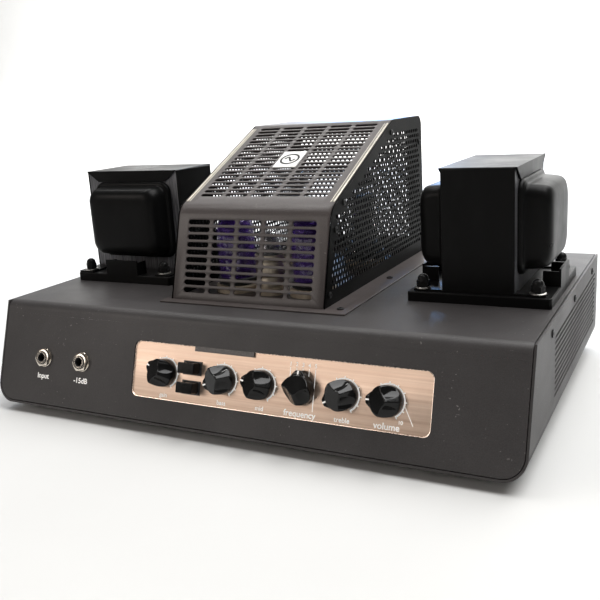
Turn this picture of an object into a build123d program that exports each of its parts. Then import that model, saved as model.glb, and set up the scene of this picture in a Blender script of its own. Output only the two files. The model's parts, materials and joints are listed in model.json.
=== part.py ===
"""Tube guitar amplifier head: chassis, valve cage, two transformers, controls and rear panel.

Millimetres. While building, X = 0 is the chassis centre, Y = 0 is where the leaning front plane meets
the top plane, and Z = 0 is the table. At the end every piece is moved along Y by the same amount, so
that the origin is the bottom centre of the whole amplifier. The front faces -Y.
"""
import os
from itertools import product
from math import atan2, cos, hypot, radians, sin, tan

from build123d import *

# ---- driving dimensions ------------------------------------------------------------------------
WIDTH = 406.0                # chassis, outside of both side walls
TOP_DEPTH = 249.0            # front plane to rear face, measured at the top
HEIGHT = 74.0                # chassis without its feet
FOOT = 7.0                   # rubber foot height
SHEET = 1.5                  # chassis sheet thickness
LEAN = 18.9                  # front panel leans back from the vertical, degrees
WRAP_R = 15.0                # lower corners of the wrap
FRONT_BEND_R = 7.4           # bend between front and top
GAP = 0.5                    # gap between the wrap and the front cover

WINDOW = (-74.0, 146.5, 20.4, 60.1)     # control window: x from, x to, slope distance from, to
WINDOW_R = 5.0
COVER_SEAM = (9.0, 0.03)     # front panel under the bend: slope distance and width of its seam
VENTS = (11, 3.85, 13.4)     # side vents: rows, pitch, depth of the first under the top
VENT = (145.5, 177.0, 2.0)   # middle, length, height
SIDE_SCREW_Y = (45.5, 130.5, 216.0)
SIDE_SCREW_DROP = 7.3        # under the top
M3_HOLE_R = 1.6
FOOT_X = 172.0
FOOT_Y = (8.0, 222.0)
INDICATOR = (-22.7, 23.9, 20.4, 24.0)   # smoked strip along the window's top edge
PLATE_T = 1.2                # control plate
CONTROL_ROW = 41.1           # slope distance of the knob and jack centres
KNOB_X = {"gain": -46.6, "bass": 1.1, "middle": 30.5, "frequency": 59.9, "treble": 89.3, "volume": 118.7}
KNOB_TURN = {"gain": -66.0, "bass": -112.0, "middle": -80.0, "frequency": 0.0, "treble": -118.0,
             "volume": -90.0}   # where each pointer stands, clockwise from straight up
KNOB_R = 9.9
KNOB_APEX = (-3.0, 12.4)     # where the three facets meet: along the pointer's axis, height
POINTER_SLOPE = 24.0         # pointer facet, degrees from flat
SIDE_FACET = (52.6, 50.0)    # side facets: degrees from flat, degrees turned towards the back
POINTER_R = 12.6
POINTER_H = 6.0
SHAFT_R = 3.0
KNOB_RECESS = (6.4, 2.6)     # hollow over the nut: radius, depth
SHAFT_END = 7.5              # top of the shaft in its knob
SHAFT_CLEARANCE = 0.05
JACK_X = (-158.3, -121.3)
JACK_BORE = 3.25             # takes a 6.35 mm plug
JACK_NECK = 7.0              # end of the drilled bore, out of the panel
JACK_HOLE_R = 4.8
THREAD_R = 4.7               # jack neck
POT_NECK_R = 3.6
PADDLE_X = -23.9
PADDLE_ROWS = (35.7, 49.0)
PADDLE_PIN_R = 1.2
PADDLE_PIVOT = -8.0          # pivot depth, along the front normal

CAGE = (-68.5, 57.5)         # outside of the cage's side panels
CAGE_LEAN = 17.3
CAGE_FRONT_TOP = (52.7, 66.0)           # y, height over the chassis, where front meets slope
CAGE_SLOPE_TOP = (172.5, 118.2)         # y, height, where slope meets the flat top
CAGE_BACK = 239.7
CAGE_T = 1.2
CAGE_BENDS = (14.0, 12.0, 8.0)          # bend radii: front to slope, slope to top, top to back
CAGE_BASE = (-74.0, 75.5, 25.0, 245.0)  # base plate
CAGE_FLANGE_SCREWS = [(67.5, 36.0), (67.5, 128.0), (67.5, 220.0)]
CAGE_SIDE_SCREWS = [(168.0, 108.5), (72.5, 67.5), (57.0, 51.0), (42.0, 8.8), (233.5, 96.0)]
BADGE = (68.7, 19.6, 24.0, 1.0)         # up the slope, width, height, thickness
SLOT_COLUMNS = 5
SLOT_X = -49.2               # centre of the first column
SLOT_PITCH_X = 21.71
SLOT = (18.35, 3.3)
FRONT_SLOTS = (10, -10.5, -5.57)        # rows, first row and pitch up the front from its top
SLOPE_SLOTS = (20, 17.7, 5.54)          # rows, first row and pitch up the slope

REAR_ROW = FOOT + 37.0       # height of the rear connectors
INLET_X = 150.0
ROCKER_X = (112.0, 84.0)
REAR_JACK_X = (-34.0, -62.0, -100.0, -128.0)
BALANCED_X = -168.0
REAR_SEAMS = (-145.5, -15.0) # joints of the three rear plates
REAR_SCREW_X = (-166.0, -81.0, 30.0, 170.0)
REAR_SCREW_Z = FOOT + 8.0
ROCKER_PIVOT = -4.0
ROCKER_PIN_R = 1.2
ROCKER_TILT = 8.0

CORE_W = 93.7                # transformer channel, across the plates
CORE_D = 48.0                # laminated stack with its channel
CORE_TOP = 89.6              # over the chassis
TRAY = (96.2, 100.0, 6.8)    # tray under the power transformer: x, y, height
POWER_TRANSFORMER = (149.7, 121.5)
OUTPUT_TRANSFORMER = (-146.0, 120.5)
BELL_DEPTH = 21.0
BELL_HALF = 38.5             # half of a bell's width
BELL_Z = (17.5, 80.3)        # foot and top of a bell over the chassis
STEEL_T = 1.5                # channel and bell sheet
STUD_REACH = (38.4, 43.3)    # studs from a transformer's centre, along x and y
STUD_R = 2.4
STUD_HOLE_R = 2.55

DRIVERS = [(-33.0, 72.0), (30.0, 72.0)]
POWERS = [(-36.0, 178.0), (26.0, 178.0)]
PREAMP = (-2.0, 68.0)
SOCKET_H = 8.0               # socket over the chassis sheet's underside
BOARD_T = 1.6
STANDOFF_H = 10.0
CAPACITORS = [(60, 90), (60, 125), (60, 160), (-90, 100), (-90, 140)]

TOP = FOOT + HEIGHT          # top plane of the chassis
HALF = WIDTH / 2
FLOOR = FOOT + SHEET         # inside of the wrap's bottom
BACK = TOP_DEPTH
PLATE_FRONT = -SHEET         # control plate's front face, along the front normal
PLATE_BACK = -SHEET - PLATE_T
SIDE_SCREW_Z = TOP - SIDE_SCREW_DROP
FOOT_PLACES = [(x, y) for x in (-FOOT_X, FOOT_X) for y in FOOT_Y]
LAM_W = CORE_W - 2 * STEEL_T # lamination stack inside its channel
LAM_LOW = TRAY[2]
LAM_HIGH = CORE_TOP - STEEL_T
YOKE = LAM_W / 6             # width of a stack's outer legs and yokes

STUD_PATTERN = [(x * STUD_REACH[0], y * STUD_REACH[1]) for x in (-1, 1) for y in (-1, 1)]

front = Plane(origin=(0, 0, TOP), x_dir=(1, 0, 0),
              z_dir=(0, -cos(radians(LEAN)), sin(radians(LEAN))))
rear = Plane(origin=(0, BACK, 0), x_dir=(-1, 0, 0), z_dir=(0, 1, 0))   # local y is +Z
parts = {}


# ---- helpers -----------------------------------------------------------------------------------
def on_front(x, slope, out=0.0):
    """Place on the leaning front: x, distance down the slope, distance out of it."""
    return front.location * Pos(x, -slope, out)


def on_rear(x, z, out=0.0):
    """Place on the rear panel, seen in the amplifier's own x."""
    return rear.location * Pos(-x, z, out)


def box(x0, x1, y0, y1, z0, z1):
    return Pos((x0 + x1) / 2, (y0 + y1) / 2, (z0 + z1) / 2) * Box(x1 - x0, y1 - y0, z1 - z0)


def disc(r, z0, z1):
    """Cylinder about the local Z from z0 to z1."""
    return Pos(0, 0, (z0 + z1) / 2) * Cylinder(r, z1 - z0)


def prism(sides, across_flats, z0, z1):
    hexagon = RegularPolygon(across_flats / 2, sides, major_radius=False)
    return Pos(0, 0, z0) * extrude(hexagon, z1 - z0)


def group(solids):
    """One node of separate solids."""
    flat = []
    for piece in solids:
        flat += list(piece.solids())
    return flat[0] if len(flat) == 1 else Compound(flat)


def lying(profile, x0, x1):
    """Extrude a profile drawn as (y, z) points from x0 to x1."""
    return Pos(x0, 0, 0) * extrude(Plane.YZ * profile, x1 - x0)


def outline(*points):
    return make_face(Polyline(*points, close=True))


def chassis_section(inset, z_low, z_high, corner):
    """Chassis cross-section in X and Z with rounded lower corners, as a prism along Y."""
    wide = 2 * (HALF - inset)
    tall = z_high - z_low + 60
    face = Pos(0, z_low + tall / 2) * RectangleRounded(wide, tall, corner)
    face = face & (Pos(0, (z_low + z_high) / 2) * Rectangle(wide, z_high - z_low))
    return Pos(0, BACK, 0) * extrude(Plane.XZ * face, BACK + 60)


# ---- chassis -----------------------------------------------------------------------------------
def chassis_wrap():
    outer = chassis_section(0, FOOT, TOP, WRAP_R)
    inner = chassis_section(SHEET, FLOOR, TOP + 1, WRAP_R - SHEET)
    wrap = outer - inner
    wrap -= on_front(0, 0, 100) * Box(WIDTH + 100, 400, 200)
    lip_slope = (HEIGHT - SHEET / 2) / cos(radians(LEAN))
    lip_wide, lip_tall, lip_gap = 349.0, 8.4, 0.6
    wrap += on_front(0, lip_slope - lip_tall / 2, -1.5 * SHEET - lip_gap) * Box(lip_wide, lip_tall, SHEET)
    rows, pitch, first = VENTS
    middle, length, height = VENT
    vents = Sketch() + [Pos(middle, TOP - first - pitch * row) * SlotOverall(length, height)
                        for row in range(rows)]
    wrap -= Pos(-HALF - 5, 0, 0) * extrude(Plane.YZ * vents, WIDTH + 10)
    for y in SIDE_SCREW_Y:
        wrap -= Pos(0, y, SIDE_SCREW_Z) * Rot(0, 90, 0) * Cylinder(M3_HOLE_R, WIDTH + 10)
    for x, y in FOOT_PLACES:
        wrap -= Pos(x, y, FOOT) * Cylinder(2.1, 8)
    return wrap


def front_top_cover():
    """Folded front and top. A hairline seam under the bend makes the flat front a solid of its own."""
    c, s = cos(radians(LEAN)), sin(radians(LEAN))
    bottom = 76.0
    turn = SHEET * (1 - s) / c
    profile = outline((-bottom * s, TOP - bottom * c), (0, TOP), (BACK, TOP), (BACK, TOP - SHEET),
                      (turn, TOP - SHEET), (-bottom * s + SHEET * c, TOP - bottom * c - SHEET * s))
    cover = lying(profile, -HALF, HALF)
    bends = cover.edges().filter_by(Axis.X)
    cover = fillet(bends.sort_by(lambda e: hypot(e.center().Y, e.center().Z - TOP))[0], FRONT_BEND_R)
    inner = cover.edges().filter_by(Axis.X).sort_by(
        lambda e: hypot(e.center().Y - turn, e.center().Z - TOP + SHEET))[0]
    cover = fillet(inner, FRONT_BEND_R - SHEET)
    for side in (-1, 1):
        x_out = side * (HALF - SHEET - GAP)
        x_in = x_out - side * SHEET
        cover += box(min(x_in, x_out), max(x_in, x_out), 20, BACK - 20, TOP - 14, TOP - SHEET / 2)
    cover = cover & chassis_section(SHEET + GAP, FLOOR + 0.6, TOP, WRAP_R - SHEET - GAP)
    x0, x1, s0, s1 = WINDOW
    window = RectangleRounded(x1 - x0, s1 - s0, WINDOW_R)
    cover -= on_front((x0 + x1) / 2, (s0 + s1) / 2, -4) * extrude(window, 8)
    for x in JACK_X:
        cover -= on_front(x, CONTROL_ROW) * Cylinder(JACK_HOLE_R, 10)
    for y in SIDE_SCREW_Y:
        cover -= Pos(0, y, SIDE_SCREW_Z) * Rot(0, 90, 0) * Cylinder(M3_HOLE_R, WIDTH)
    for x, y in DRIVERS + POWERS:
        cover -= Pos(x, y, TOP) * Cylinder(14.5, 6)
    cover -= Pos(*PREAMP, TOP) * Cylinder(9.5, 6)
    for cx, cy in (POWER_TRANSFORMER, OUTPUT_TRANSFORMER):
        cover -= Pos(cx, cy, TOP) * Box(30, 30, 6)
        for x, y in STUD_PATTERN:
            cover -= Pos(cx + x, cy + y, TOP) * Cylinder(STUD_HOLE_R, 6)
    for x, y in CAGE_FLANGE_SCREWS:
        cover -= Pos(x, y, TOP) * Cylinder(M3_HOLE_R, 6)
    slope, seam = COVER_SEAM
    return group([cover - on_front(0, slope, -SHEET / 2) * Box(WIDTH, seam, 2 * SHEET)])


def rear_panel():
    """Three flanged plates side by side: balanced output, jacks, and mains with its switches."""
    low, high = FLOOR + 0.1, TOP - SHEET - 0.1
    section = chassis_section(SHEET + GAP, low, high, WRAP_R - SHEET - GAP)
    panel = section & box(-HALF, HALF, BACK - SHEET, BACK, 0, TOP)
    for reach, z in ((180, low), (190, high - SHEET)):
        panel += box(-reach, reach, BACK - 14, BACK - SHEET / 2, z, z + SHEET)
    panel -= on_rear(INLET_X, REAR_ROW) * Box(27.4, 31.4, 8)
    for x in ROCKER_X:
        panel -= on_rear(x, REAR_ROW) * Box(13.2, 21.2, 8)
    for x in REAR_JACK_X:
        panel -= on_rear(x, REAR_ROW) * Cylinder(JACK_HOLE_R, 8)
    panel -= on_rear(BALANCED_X, REAR_ROW) * Cylinder(12.2, 8)
    for x in REAR_SCREW_X:
        panel -= on_rear(x, REAR_SCREW_Z) * Cylinder(M3_HOLE_R, 8)
    for x in REAR_SEAMS:
        panel -= box(x - 0.15, x + 0.15, BACK - 20, BACK + 1, 0, TOP)
    return group([panel])


def control_plate():
    x0, x1, s0, s1 = WINDOW
    wide, tall = x1 - x0 + 12, s1 - s0 + 6
    plate = on_front((x0 + x1) / 2, (s0 + s1) / 2, PLATE_BACK + PLATE_T / 2) * Box(wide, tall, PLATE_T)
    for x in KNOB_X.values():
        plate -= on_front(x, CONTROL_ROW, PLATE_FRONT) * Cylinder(POT_NECK_R + 0.1, 6)
    for row in PADDLE_ROWS:
        plate -= on_front(PADDLE_X, row, PLATE_FRONT) * Box(13.8, 8.4, 6)
    return plate


def indicator_window():
    x0, x1, s0, s1 = INDICATOR
    return on_front((x0 + x1) / 2, (s0 + s1) / 2, PLATE_FRONT + 0.7) * Box(x1 - x0, s1 - s0, 1.4)


def rubber_foot():
    foot = Cone(9.5, 8.0, FOOT)
    foot = Pos(0, 0, FOOT / 2) * Rot(180, 0, 0) * foot
    foot = fillet(foot.edges().group_by(Axis.Z)[0], 1.0)
    return foot - disc(4.0, -1, 3.2) - disc(2.1, 0, FOOT + 1)


def foot_screw():
    return disc(3.6, 1.0, 3.2) + disc(2.0, 3.2, FLOOR + 3)


def pan_screw(head_r, head_h, shank_r, length):
    """Screw along the local Z with its head outside, at z from 0 up."""
    head = fillet(disc(head_r, 0, head_h).edges().group_by(Axis.Z)[-1], head_h * 0.45)
    return head + disc(shank_r, -length, 0) - prism(6, head_r * 0.9, head_h * 0.4, head_h + 1)


def chassis_parts():
    parts["chassis_wrap"] = chassis_wrap()
    parts["front_top_cover"] = front_top_cover()
    parts["rear_panel"] = rear_panel()
    parts["control_plate"] = control_plate()
    parts["indicator_window"] = indicator_window()
    parts["rubber_feet"] = group([Pos(x, y, 0) * rubber_foot() for x, y in FOOT_PLACES])
    parts["foot_screws"] = group([Pos(x, y, 0) * foot_screw() for x, y in FOOT_PLACES])
    screws = []
    for y in SIDE_SCREW_Y:
        for side in (-1, 1):
            seat = Pos(side * HALF, y, SIDE_SCREW_Z) * Rot(0, side * 90, 0)
            screws.append(seat * pan_screw(2.6, 0.9, 1.5, 5))
    for x in REAR_SCREW_X:
        screws.append(on_rear(x, REAR_SCREW_Z) * pan_screw(2.6, 0.9, 1.5, 4))
    parts["cover_screws"] = group(screws)


# ---- front and rear jacks ------------------------------------------------------------------------
def jack_body():
    """Jack behind a panel: the panel's outer face is at local z = 0, and the plug goes in along -Z."""
    body = Pos(0, 0, -SHEET - 13) * Box(16, 16, 26)
    body = fillet(body.edges().filter_by(Axis.Z), 1.5)
    body += disc(THREAD_R, -SHEET - 1, JACK_NECK - 3.0)
    return body - disc(JACK_BORE, -SHEET - 24, JACK_NECK)


def jack_nut():
    nut = prism(6, 12.4, 0.8, 3.4) & Pos(0, 0, 2.1) * Sphere(7.3)
    washer = disc(7.0, 0, 0.8)
    return nut + washer - disc(THREAD_R, -1, 5)


def jack_places():
    places = [on_front(x, CONTROL_ROW) for x in JACK_X]
    return places + [on_rear(x, REAR_ROW) for x in REAR_JACK_X]


# ---- controls ----------------------------------------------------------------------------------
def knob():
    """Pointer knob standing on local z = 0: pointer towards +Y, three facets meeting at its top."""
    y, height = KNOB_APEX
    slope, back = (radians(angle) for angle in SIDE_FACET)
    tilt = radians(POINTER_SLOPE)
    side = (sin(slope) * cos(back), -sin(slope) * sin(back), cos(slope))
    nub = outline((-4.6, 7.0), (-2.2, POINTER_R), (2.2, POINTER_R), (4.6, 7.0))
    body = extrude(Circle(KNOB_R), height, taper=2) + extrude(nub, POINTER_H)
    for normal in ((0, sin(tilt), cos(tilt)), side, (-side[0], side[1], side[2])):
        body -= Plane(origin=(0, y, height), z_dir=normal).location * Pos(0, 0, 15) * Box(80, 80, 30)
    radius, depth = KNOB_RECESS
    return body - disc(radius, -1, depth) - disc(SHAFT_R, 0, SHAFT_END)


def control_shaft():
    """Shaft from behind the plate up into the knob, local z measured from the plate's front face."""
    return disc(SHAFT_R, -6.0, SHAFT_END + 1.0)


def pot_body(radius, depth):
    """Body behind the plate and a threaded neck through it, both open for the turning shaft."""
    body = disc(radius, -PLATE_T - depth, -PLATE_T)
    neck = disc(POT_NECK_R, -PLATE_T - 1, 3.3)
    return body + neck - disc(SHAFT_R + SHAFT_CLEARANCE, -PLATE_T - 5.2, 6)


def control_nut():
    return prism(6, 10.0, 0, 1.9) - disc(POT_NECK_R, -1, 3)


def paddle():
    """Paddle of a front switch, in front-plane coordinates about its own row."""
    cap = Pos(0, 0, 4.1) * Box(13.0, 7.4, 7.2)
    cap = fillet(cap.edges().filter_by(Axis.Z), 0.8)
    cap = fillet(cap.edges().group_by(Axis.Z)[-1], 0.5)
    neck = Pos(0, 0, -3.6) * Box(11.6, 4.6, 9.2)
    hub = Pos(0, 0, PADDLE_PIVOT) * Rot(0, 90, 0) * Cylinder(2.6, 11.6)
    pin = Pos(0, 0, PADDLE_PIVOT) * Rot(0, 90, 0) * Cylinder(PADDLE_PIN_R, 14.6)
    return cap + neck + hub + pin


def paddle_housing():
    """Housing behind the plate with a slim frame on its front."""
    housing = Pos(0, 0, (PLATE_BACK - 15.0) / 2) * Box(15.6, 11.0, 15.0 + PLATE_BACK)
    neck = Pos(0, 0, (PLATE_BACK - 1.1) / 2) * Box(13.8, 8.4, -1.1 - PLATE_BACK)
    frame = Pos(0, 0, -1.1) * Box(14.8, 9.6, 0.8)
    bore = Pos(0, 0, PADDLE_PIVOT) * Rot(0, 90, 0) * Cylinder(PADDLE_PIN_R + SHAFT_CLEARANCE, 14.8)
    return housing + neck + frame - Pos(0, 0, -6.5) * Box(12.2, 8.0, 13.0) - bore


def control_parts():
    places = jack_places()
    parts["jack_bodies"] = group([place * jack_body() for place in places])
    parts["jack_nuts"] = group([place * jack_nut() for place in places])
    pots, nuts = [], []
    for name, x in KNOB_X.items():
        seat = on_front(x, CONTROL_ROW, PLATE_FRONT)
        turned = seat * Rot(0, 0, -KNOB_TURN[name])
        parts[name + "_knob"] = turned * Pos(0, 0, 1.0) * knob()
        parts[name + "_shaft"] = seat * control_shaft()
        nuts.append(seat * control_nut())
        if name == "frequency":
            parts["selector_body"] = seat * pot_body(11.0, 14.0)
        else:
            pots.append(seat * pot_body(8.5, 9.0))
    parts["potentiometers"] = group(pots)
    parts["control_nuts"] = group(nuts)
    housings = []
    for name, row in zip(("upper", "lower"), PADDLE_ROWS):
        seat = on_front(PADDLE_X, row)
        parts[name + "_paddle"] = seat * paddle()
        housings.append(seat * paddle_housing())
    parts["paddle_housings"] = group(housings)


# ---- rear connectors ---------------------------------------------------------------------------
def mains_inlet():
    """Inlet with a fuse drawer above it: local z = 0 is the panel's outer face."""
    body = Pos(0, 0, -12) * Box(27, 31, 24) + Pos(0, 0, 1.2) * Box(30, 35, 2.4)
    body -= Pos(0, -4.5, -6.0) * Box(24, 16.5, 18)
    body -= Pos(0, 10.2, 1.6) * Box(20, 7.6, 3)
    drawer = Pos(0, 10.2, 0.9) * Box(19.4, 7.0, 1.6)
    pins = [Pos(x, y, -10.0) * Box(2, 4, 10) for x, y in ((-7, -7), (7, -7), (0, -1.5))]
    return body + drawer + pins


def rocker_frame():
    frame = Pos(0, 0, -7) * Box(13, 21, 14) + Pos(0, 0, 0.8) * Box(15, 25, 1.6)
    cavity = Pos(0, 0, -5) * Box(11.2, 19.4, 16)
    bore = Pos(0, 0, ROCKER_PIVOT) * Rot(0, 90, 0) * Cylinder(ROCKER_PIN_R + SHAFT_CLEARANCE, 12.6)
    return frame - cavity - bore


def rocker():
    """Rocker at rest in its off position, tipped about its pivot."""
    cap = Pos(0, 0, -0.6) * Box(10.6, 17.0, 6.4) - Pos(0, 0, 32.0) * Rot(0, 90, 0) * Cylinder(30.2, 20)
    cap += Pos(0, 0, ROCKER_PIVOT) * Rot(0, 90, 0) * Cylinder(ROCKER_PIN_R, 12.4)
    pivot = Pos(0, 0, ROCKER_PIVOT)
    return pivot * Rot(ROCKER_TILT, 0, 0) * pivot.inverse() * cap


def balanced_output():
    """Round three-pin output socket with a square flange."""
    flange = Pos(0, 0, 1.0) * Box(26, 31, 2.0)
    flange = fillet(flange.edges().filter_by(Axis.Z), 2.0)
    cup = disc(12.0, -20, 1.0) + flange - disc(9.4, -15, 3)
    pins = [Rot(0, 0, 90 + 120 * i) * Pos(5.2, 0, 0) * disc(1.2, -16, -5.5) for i in range(3)]
    return cup + pins


def rear_parts():
    parts["mains_inlet"] = on_rear(INLET_X, REAR_ROW) * mains_inlet()
    parts["rocker_frames"] = group([on_rear(x, REAR_ROW) * rocker_frame() for x in ROCKER_X])
    parts["power_rocker"] = on_rear(ROCKER_X[0], REAR_ROW) * rocker()
    parts["standby_rocker"] = on_rear(ROCKER_X[1], REAR_ROW) * rocker()
    parts["balanced_output"] = on_rear(BALANCED_X, REAR_ROW) * balanced_output()


# ---- boards and wiring ---------------------------------------------------------------------------
def inner_parts():
    """Boards, filter capacitors and leads, placed where the case leaves room for them."""
    parts["control_board"] = on_front(40, CONTROL_ROW, PLATE_BACK - 17.0) * Box(190, 40, BOARD_T)
    low = FLOOR + STANDOFF_H
    main = box(-130, 110, 60, 210, low, low + BOARD_T)
    for x, y in product((-120, 100), (70, 200)):
        main += box(x - 3, x + 3, y - 3, y + 3, FLOOR, low)
    parts["main_board"] = main
    parts["filter_capacitors"] = group([Pos(x, y, low + BOARD_T) * disc(12.5, 0, 32)
                                        for x, y in CAPACITORS])
    leads = [Pos(cx + x, cy, 0) * disc(1.3, FLOOR + 14, TOP + TRAY[2] - 0.2)
             for cx, cy in (POWER_TRANSFORMER, OUTPUT_TRANSFORMER) for x in (-9, -3, 3, 9)]
    bundle = box(-120, 146, 222, 228, FLOOR, FLOOR + 5)
    parts["wiring_loom"] = group(leads + [bundle])


# ---- valve cage ----------------------------------------------------------------------------------
def cage_points():
    """Outer profile corners of the cage as (y, z), from the front's foot over the top to the back."""
    y1, h1 = CAGE_FRONT_TOP
    y2, h2 = CAGE_SLOPE_TOP
    base = TOP + CAGE_T
    y0 = y1 - (TOP + h1 - base) * tan(radians(CAGE_LEAN))
    return [(y0, base), (y1, TOP + h1), (y2, TOP + h2), (CAGE_BACK, TOP + h2), (CAGE_BACK, base)]


def cage_face(inset):
    """Profile face of the cage, pulled in by inset on every side but the foot."""
    points = cage_points()
    face = outline(*points)
    for (y, z), radius in zip(points[1:4], CAGE_BENDS):
        corner = face.vertices().sort_by(lambda v: hypot(v.X - y, v.Y - z))[0]
        face = fillet(corner, radius)
    if inset:
        face = offset(face, -inset, kind=Kind.INTERSECTION)
        foot = Pos(CAGE_BACK / 2, TOP) * Rectangle(400, 2 * (CAGE_T + inset))
        low = Pos(0, -inset) * face & foot
        face = face + low
    return face


def slope_frame():
    """Plane on the cage's slope: origin where front meets slope, local y up the slope."""
    y1, h1 = CAGE_FRONT_TOP
    y2, h2 = CAGE_SLOPE_TOP
    tilt = atan2(h2 - h1, y2 - y1)
    return Plane(origin=(0, y1, TOP + h1), x_dir=(1, 0, 0), z_dir=(0, -sin(tilt), cos(tilt)))


def cage_front_frame():
    """Plane on the cage's front: origin where front meets slope, local y up the front."""
    y1, h1 = CAGE_FRONT_TOP
    lean = radians(CAGE_LEAN)
    return Plane(origin=(0, y1, TOP + h1), x_dir=(1, 0, 0), z_dir=(0, -cos(lean), sin(lean)))


def slot_grid(rows, first, pitch):
    columns = [SLOT_X + SLOT_PITCH_X * i for i in range(SLOT_COLUMNS)]
    return Sketch() + [Pos(x, first + pitch * row) * SlotOverall(*SLOT)
                       for row, x in product(range(rows), columns)]


def cage_shell():
    x0, x1 = CAGE[0] + CAGE_T, CAGE[1] - CAGE_T
    outer = lying(cage_face(0), x0, x1)
    inner = lying(cage_face(CAGE_T), x0 - 1, x1 + 1)
    shell = outer - inner
    rim = lying(cage_face(CAGE_T / 2), x0, x0 + CAGE_T) + lying(cage_face(CAGE_T / 2), x1 - CAGE_T, x1)
    rim -= lying(cage_face(11), x0 - 1, x1 + 1)
    shell += rim
    for frame, slots in ((cage_front_frame(), FRONT_SLOTS), (slope_frame(), SLOPE_SLOTS)):
        shell -= frame.location * Pos(0, 0, -4) * extrude(slot_grid(*slots), 8)
    for side in (x0, x1):
        for y, h in CAGE_SIDE_SCREWS:
            shell -= Pos(side, y, TOP + h) * Rot(0, 90, 0) * Cylinder(1.3, 8)
    return shell


def cage_side(x0):
    side = lying(cage_face(0), x0, x0 + CAGE_T)
    for y, h in CAGE_SIDE_SCREWS:
        side -= Pos(x0, y, TOP + h) * Rot(0, 90, 0) * Cylinder(1.3, 8)
    return side


def cage_base_plate():
    x0, x1, y0, y1 = CAGE_BASE
    plate = box(x0, x1, y0, y1, TOP, TOP + CAGE_T)
    for x, y in DRIVERS + POWERS:
        plate -= Pos(x, y, TOP) * Cylinder(17.6, 6)
    plate -= Pos(*PREAMP, TOP) * Cylinder(12.4, 6)
    for x, y in CAGE_FLANGE_SCREWS:
        plate -= Pos(x, y, TOP) * Cylinder(M3_HOLE_R, 6)
    return plate


def cage_parts():
    parts["cage_shell"] = cage_shell()
    parts["cage_left_side"] = cage_side(CAGE[0])
    parts["cage_right_side"] = cage_side(CAGE[1] - CAGE_T)
    parts["cage_base_plate"] = cage_base_plate()
    up, wide, tall, thick = BADGE
    badge = Pos(SLOT_X + 2 * SLOT_PITCH_X, up, thick / 2) * Box(wide, tall, thick)
    badge = fillet(badge.edges().filter_by(Axis.Z), 0.8)
    parts["cage_badge"] = slope_frame().location * badge
    screws = []
    for x, side in ((CAGE[0], -1), (CAGE[1], 1)):
        for y, h in CAGE_SIDE_SCREWS:
            screws.append(Pos(x, y, TOP + h) * Rot(0, side * 90, 0) * pan_screw(2.2, 0.8, 1.25, 3.2))
    for x, y in CAGE_FLANGE_SCREWS:
        screws.append(Pos(x, y, TOP + CAGE_T) * pan_screw(2.4, 1.0, 1.5, 5))
    parts["cage_screws"] = group(screws)


# ---- valves --------------------------------------------------------------------------------------
def glass(radius, height, wall):
    """Hollow bulb standing on local z = 0 with a domed top."""
    outer = fillet(disc(radius, 0, height).edges().group_by(Axis.Z)[-1], radius * 0.8)
    inner = fillet(disc(radius - wall, -1, height - wall).edges().group_by(Axis.Z)[-1], (radius - wall) * 0.8)
    return outer - inner


def octal_base(radius):
    """Moulded base with a floor; the glass stands in its collar."""
    base = disc(radius, 0, 12.0) - disc(radius - 1.6, 8.0, 13.0)
    return base + disc(4.0, -5.0, 0.5)


def electrodes(width, depth, height):
    plate = Pos(0, 0, height / 2 + 6) * Box(width, depth, height)
    plate = fillet(plate.edges().filter_by(Axis.Z), min(width, depth) * 0.3)
    mica = disc(width * 0.62, height + 6.0, height + 7.0) + disc(width * 0.62, 5.0, 6.0)
    return plate + mica + disc(1.5, 0, 5.0)


def socket(radius, hole):
    """Ceramic socket seated in the chassis top, with its contact block below."""
    body = disc(radius, SHEET, SOCKET_H) + disc(hole, -9.0, SHEET)
    return fillet(body.edges().group_by(Axis.Z)[-1], 1.0) - disc(4.1, SOCKET_H - 6.0, SOCKET_H + 1)


def valve_parts():
    sockets, bases, metal = [], [], []
    drivers, powers = [], []
    for places, bulbs, radius, height in ((DRIVERS, drivers, 15.5, 46.0), (POWERS, powers, 17.0, 68.0)):
        for x, y in places:
            foot = Pos(x, y, TOP - SHEET)
            seat = foot * Pos(0, 0, SOCKET_H)
            sockets.append(foot * socket(17.2, 14.2))
            bases.append(seat * octal_base(radius + 0.4))
            bulbs.append(seat * Pos(0, 0, 8.0) * glass(radius - 1.2, height, 1.2))
            metal.append(seat * Pos(0, 0, 8.0) * electrodes(radius * 0.95, radius * 0.6, height * 0.6))
    foot = Pos(*PREAMP, TOP - SHEET)
    seat = foot * Pos(0, 0, SOCKET_H)
    sockets.append(foot * (disc(12.0, SHEET, SOCKET_H) + disc(9.2, -7.0, SHEET)))
    metal.append(seat * Pos(0, 0, 1.2) * electrodes(9.0, 7.0, 22.0))
    parts["preamp_valve_glass"] = seat * glass(9.8, 44.0, 1.0)
    parts["valve_shield"] = seat * (disc(11.2, 0, 24.0) - disc(10.4, -1, 25.0))
    parts["valve_sockets"] = group(sockets)
    parts["valve_bases"] = group(bases)
    parts["valve_electrodes"] = group(metal)
    parts["driver_valve_glass"] = group(drivers)
    parts["power_valve_glass"] = group(powers)


# ---- transformers --------------------------------------------------------------------------------
# Each is drawn with its bells towards +X and -X, its base at local z = 0 and its centre at x = y = 0.

def laminated_core():
    stack = box(-CORE_D / 2, CORE_D / 2, -LAM_W / 2, LAM_W / 2, LAM_LOW, LAM_HIGH)
    for side in (-1, 1):
        y = side * YOKE * 1.5
        stack -= box(-CORE_D, CORE_D, y - YOKE / 2, y + YOKE / 2, LAM_LOW + YOKE, LAM_HIGH - YOKE)
    return stack


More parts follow.
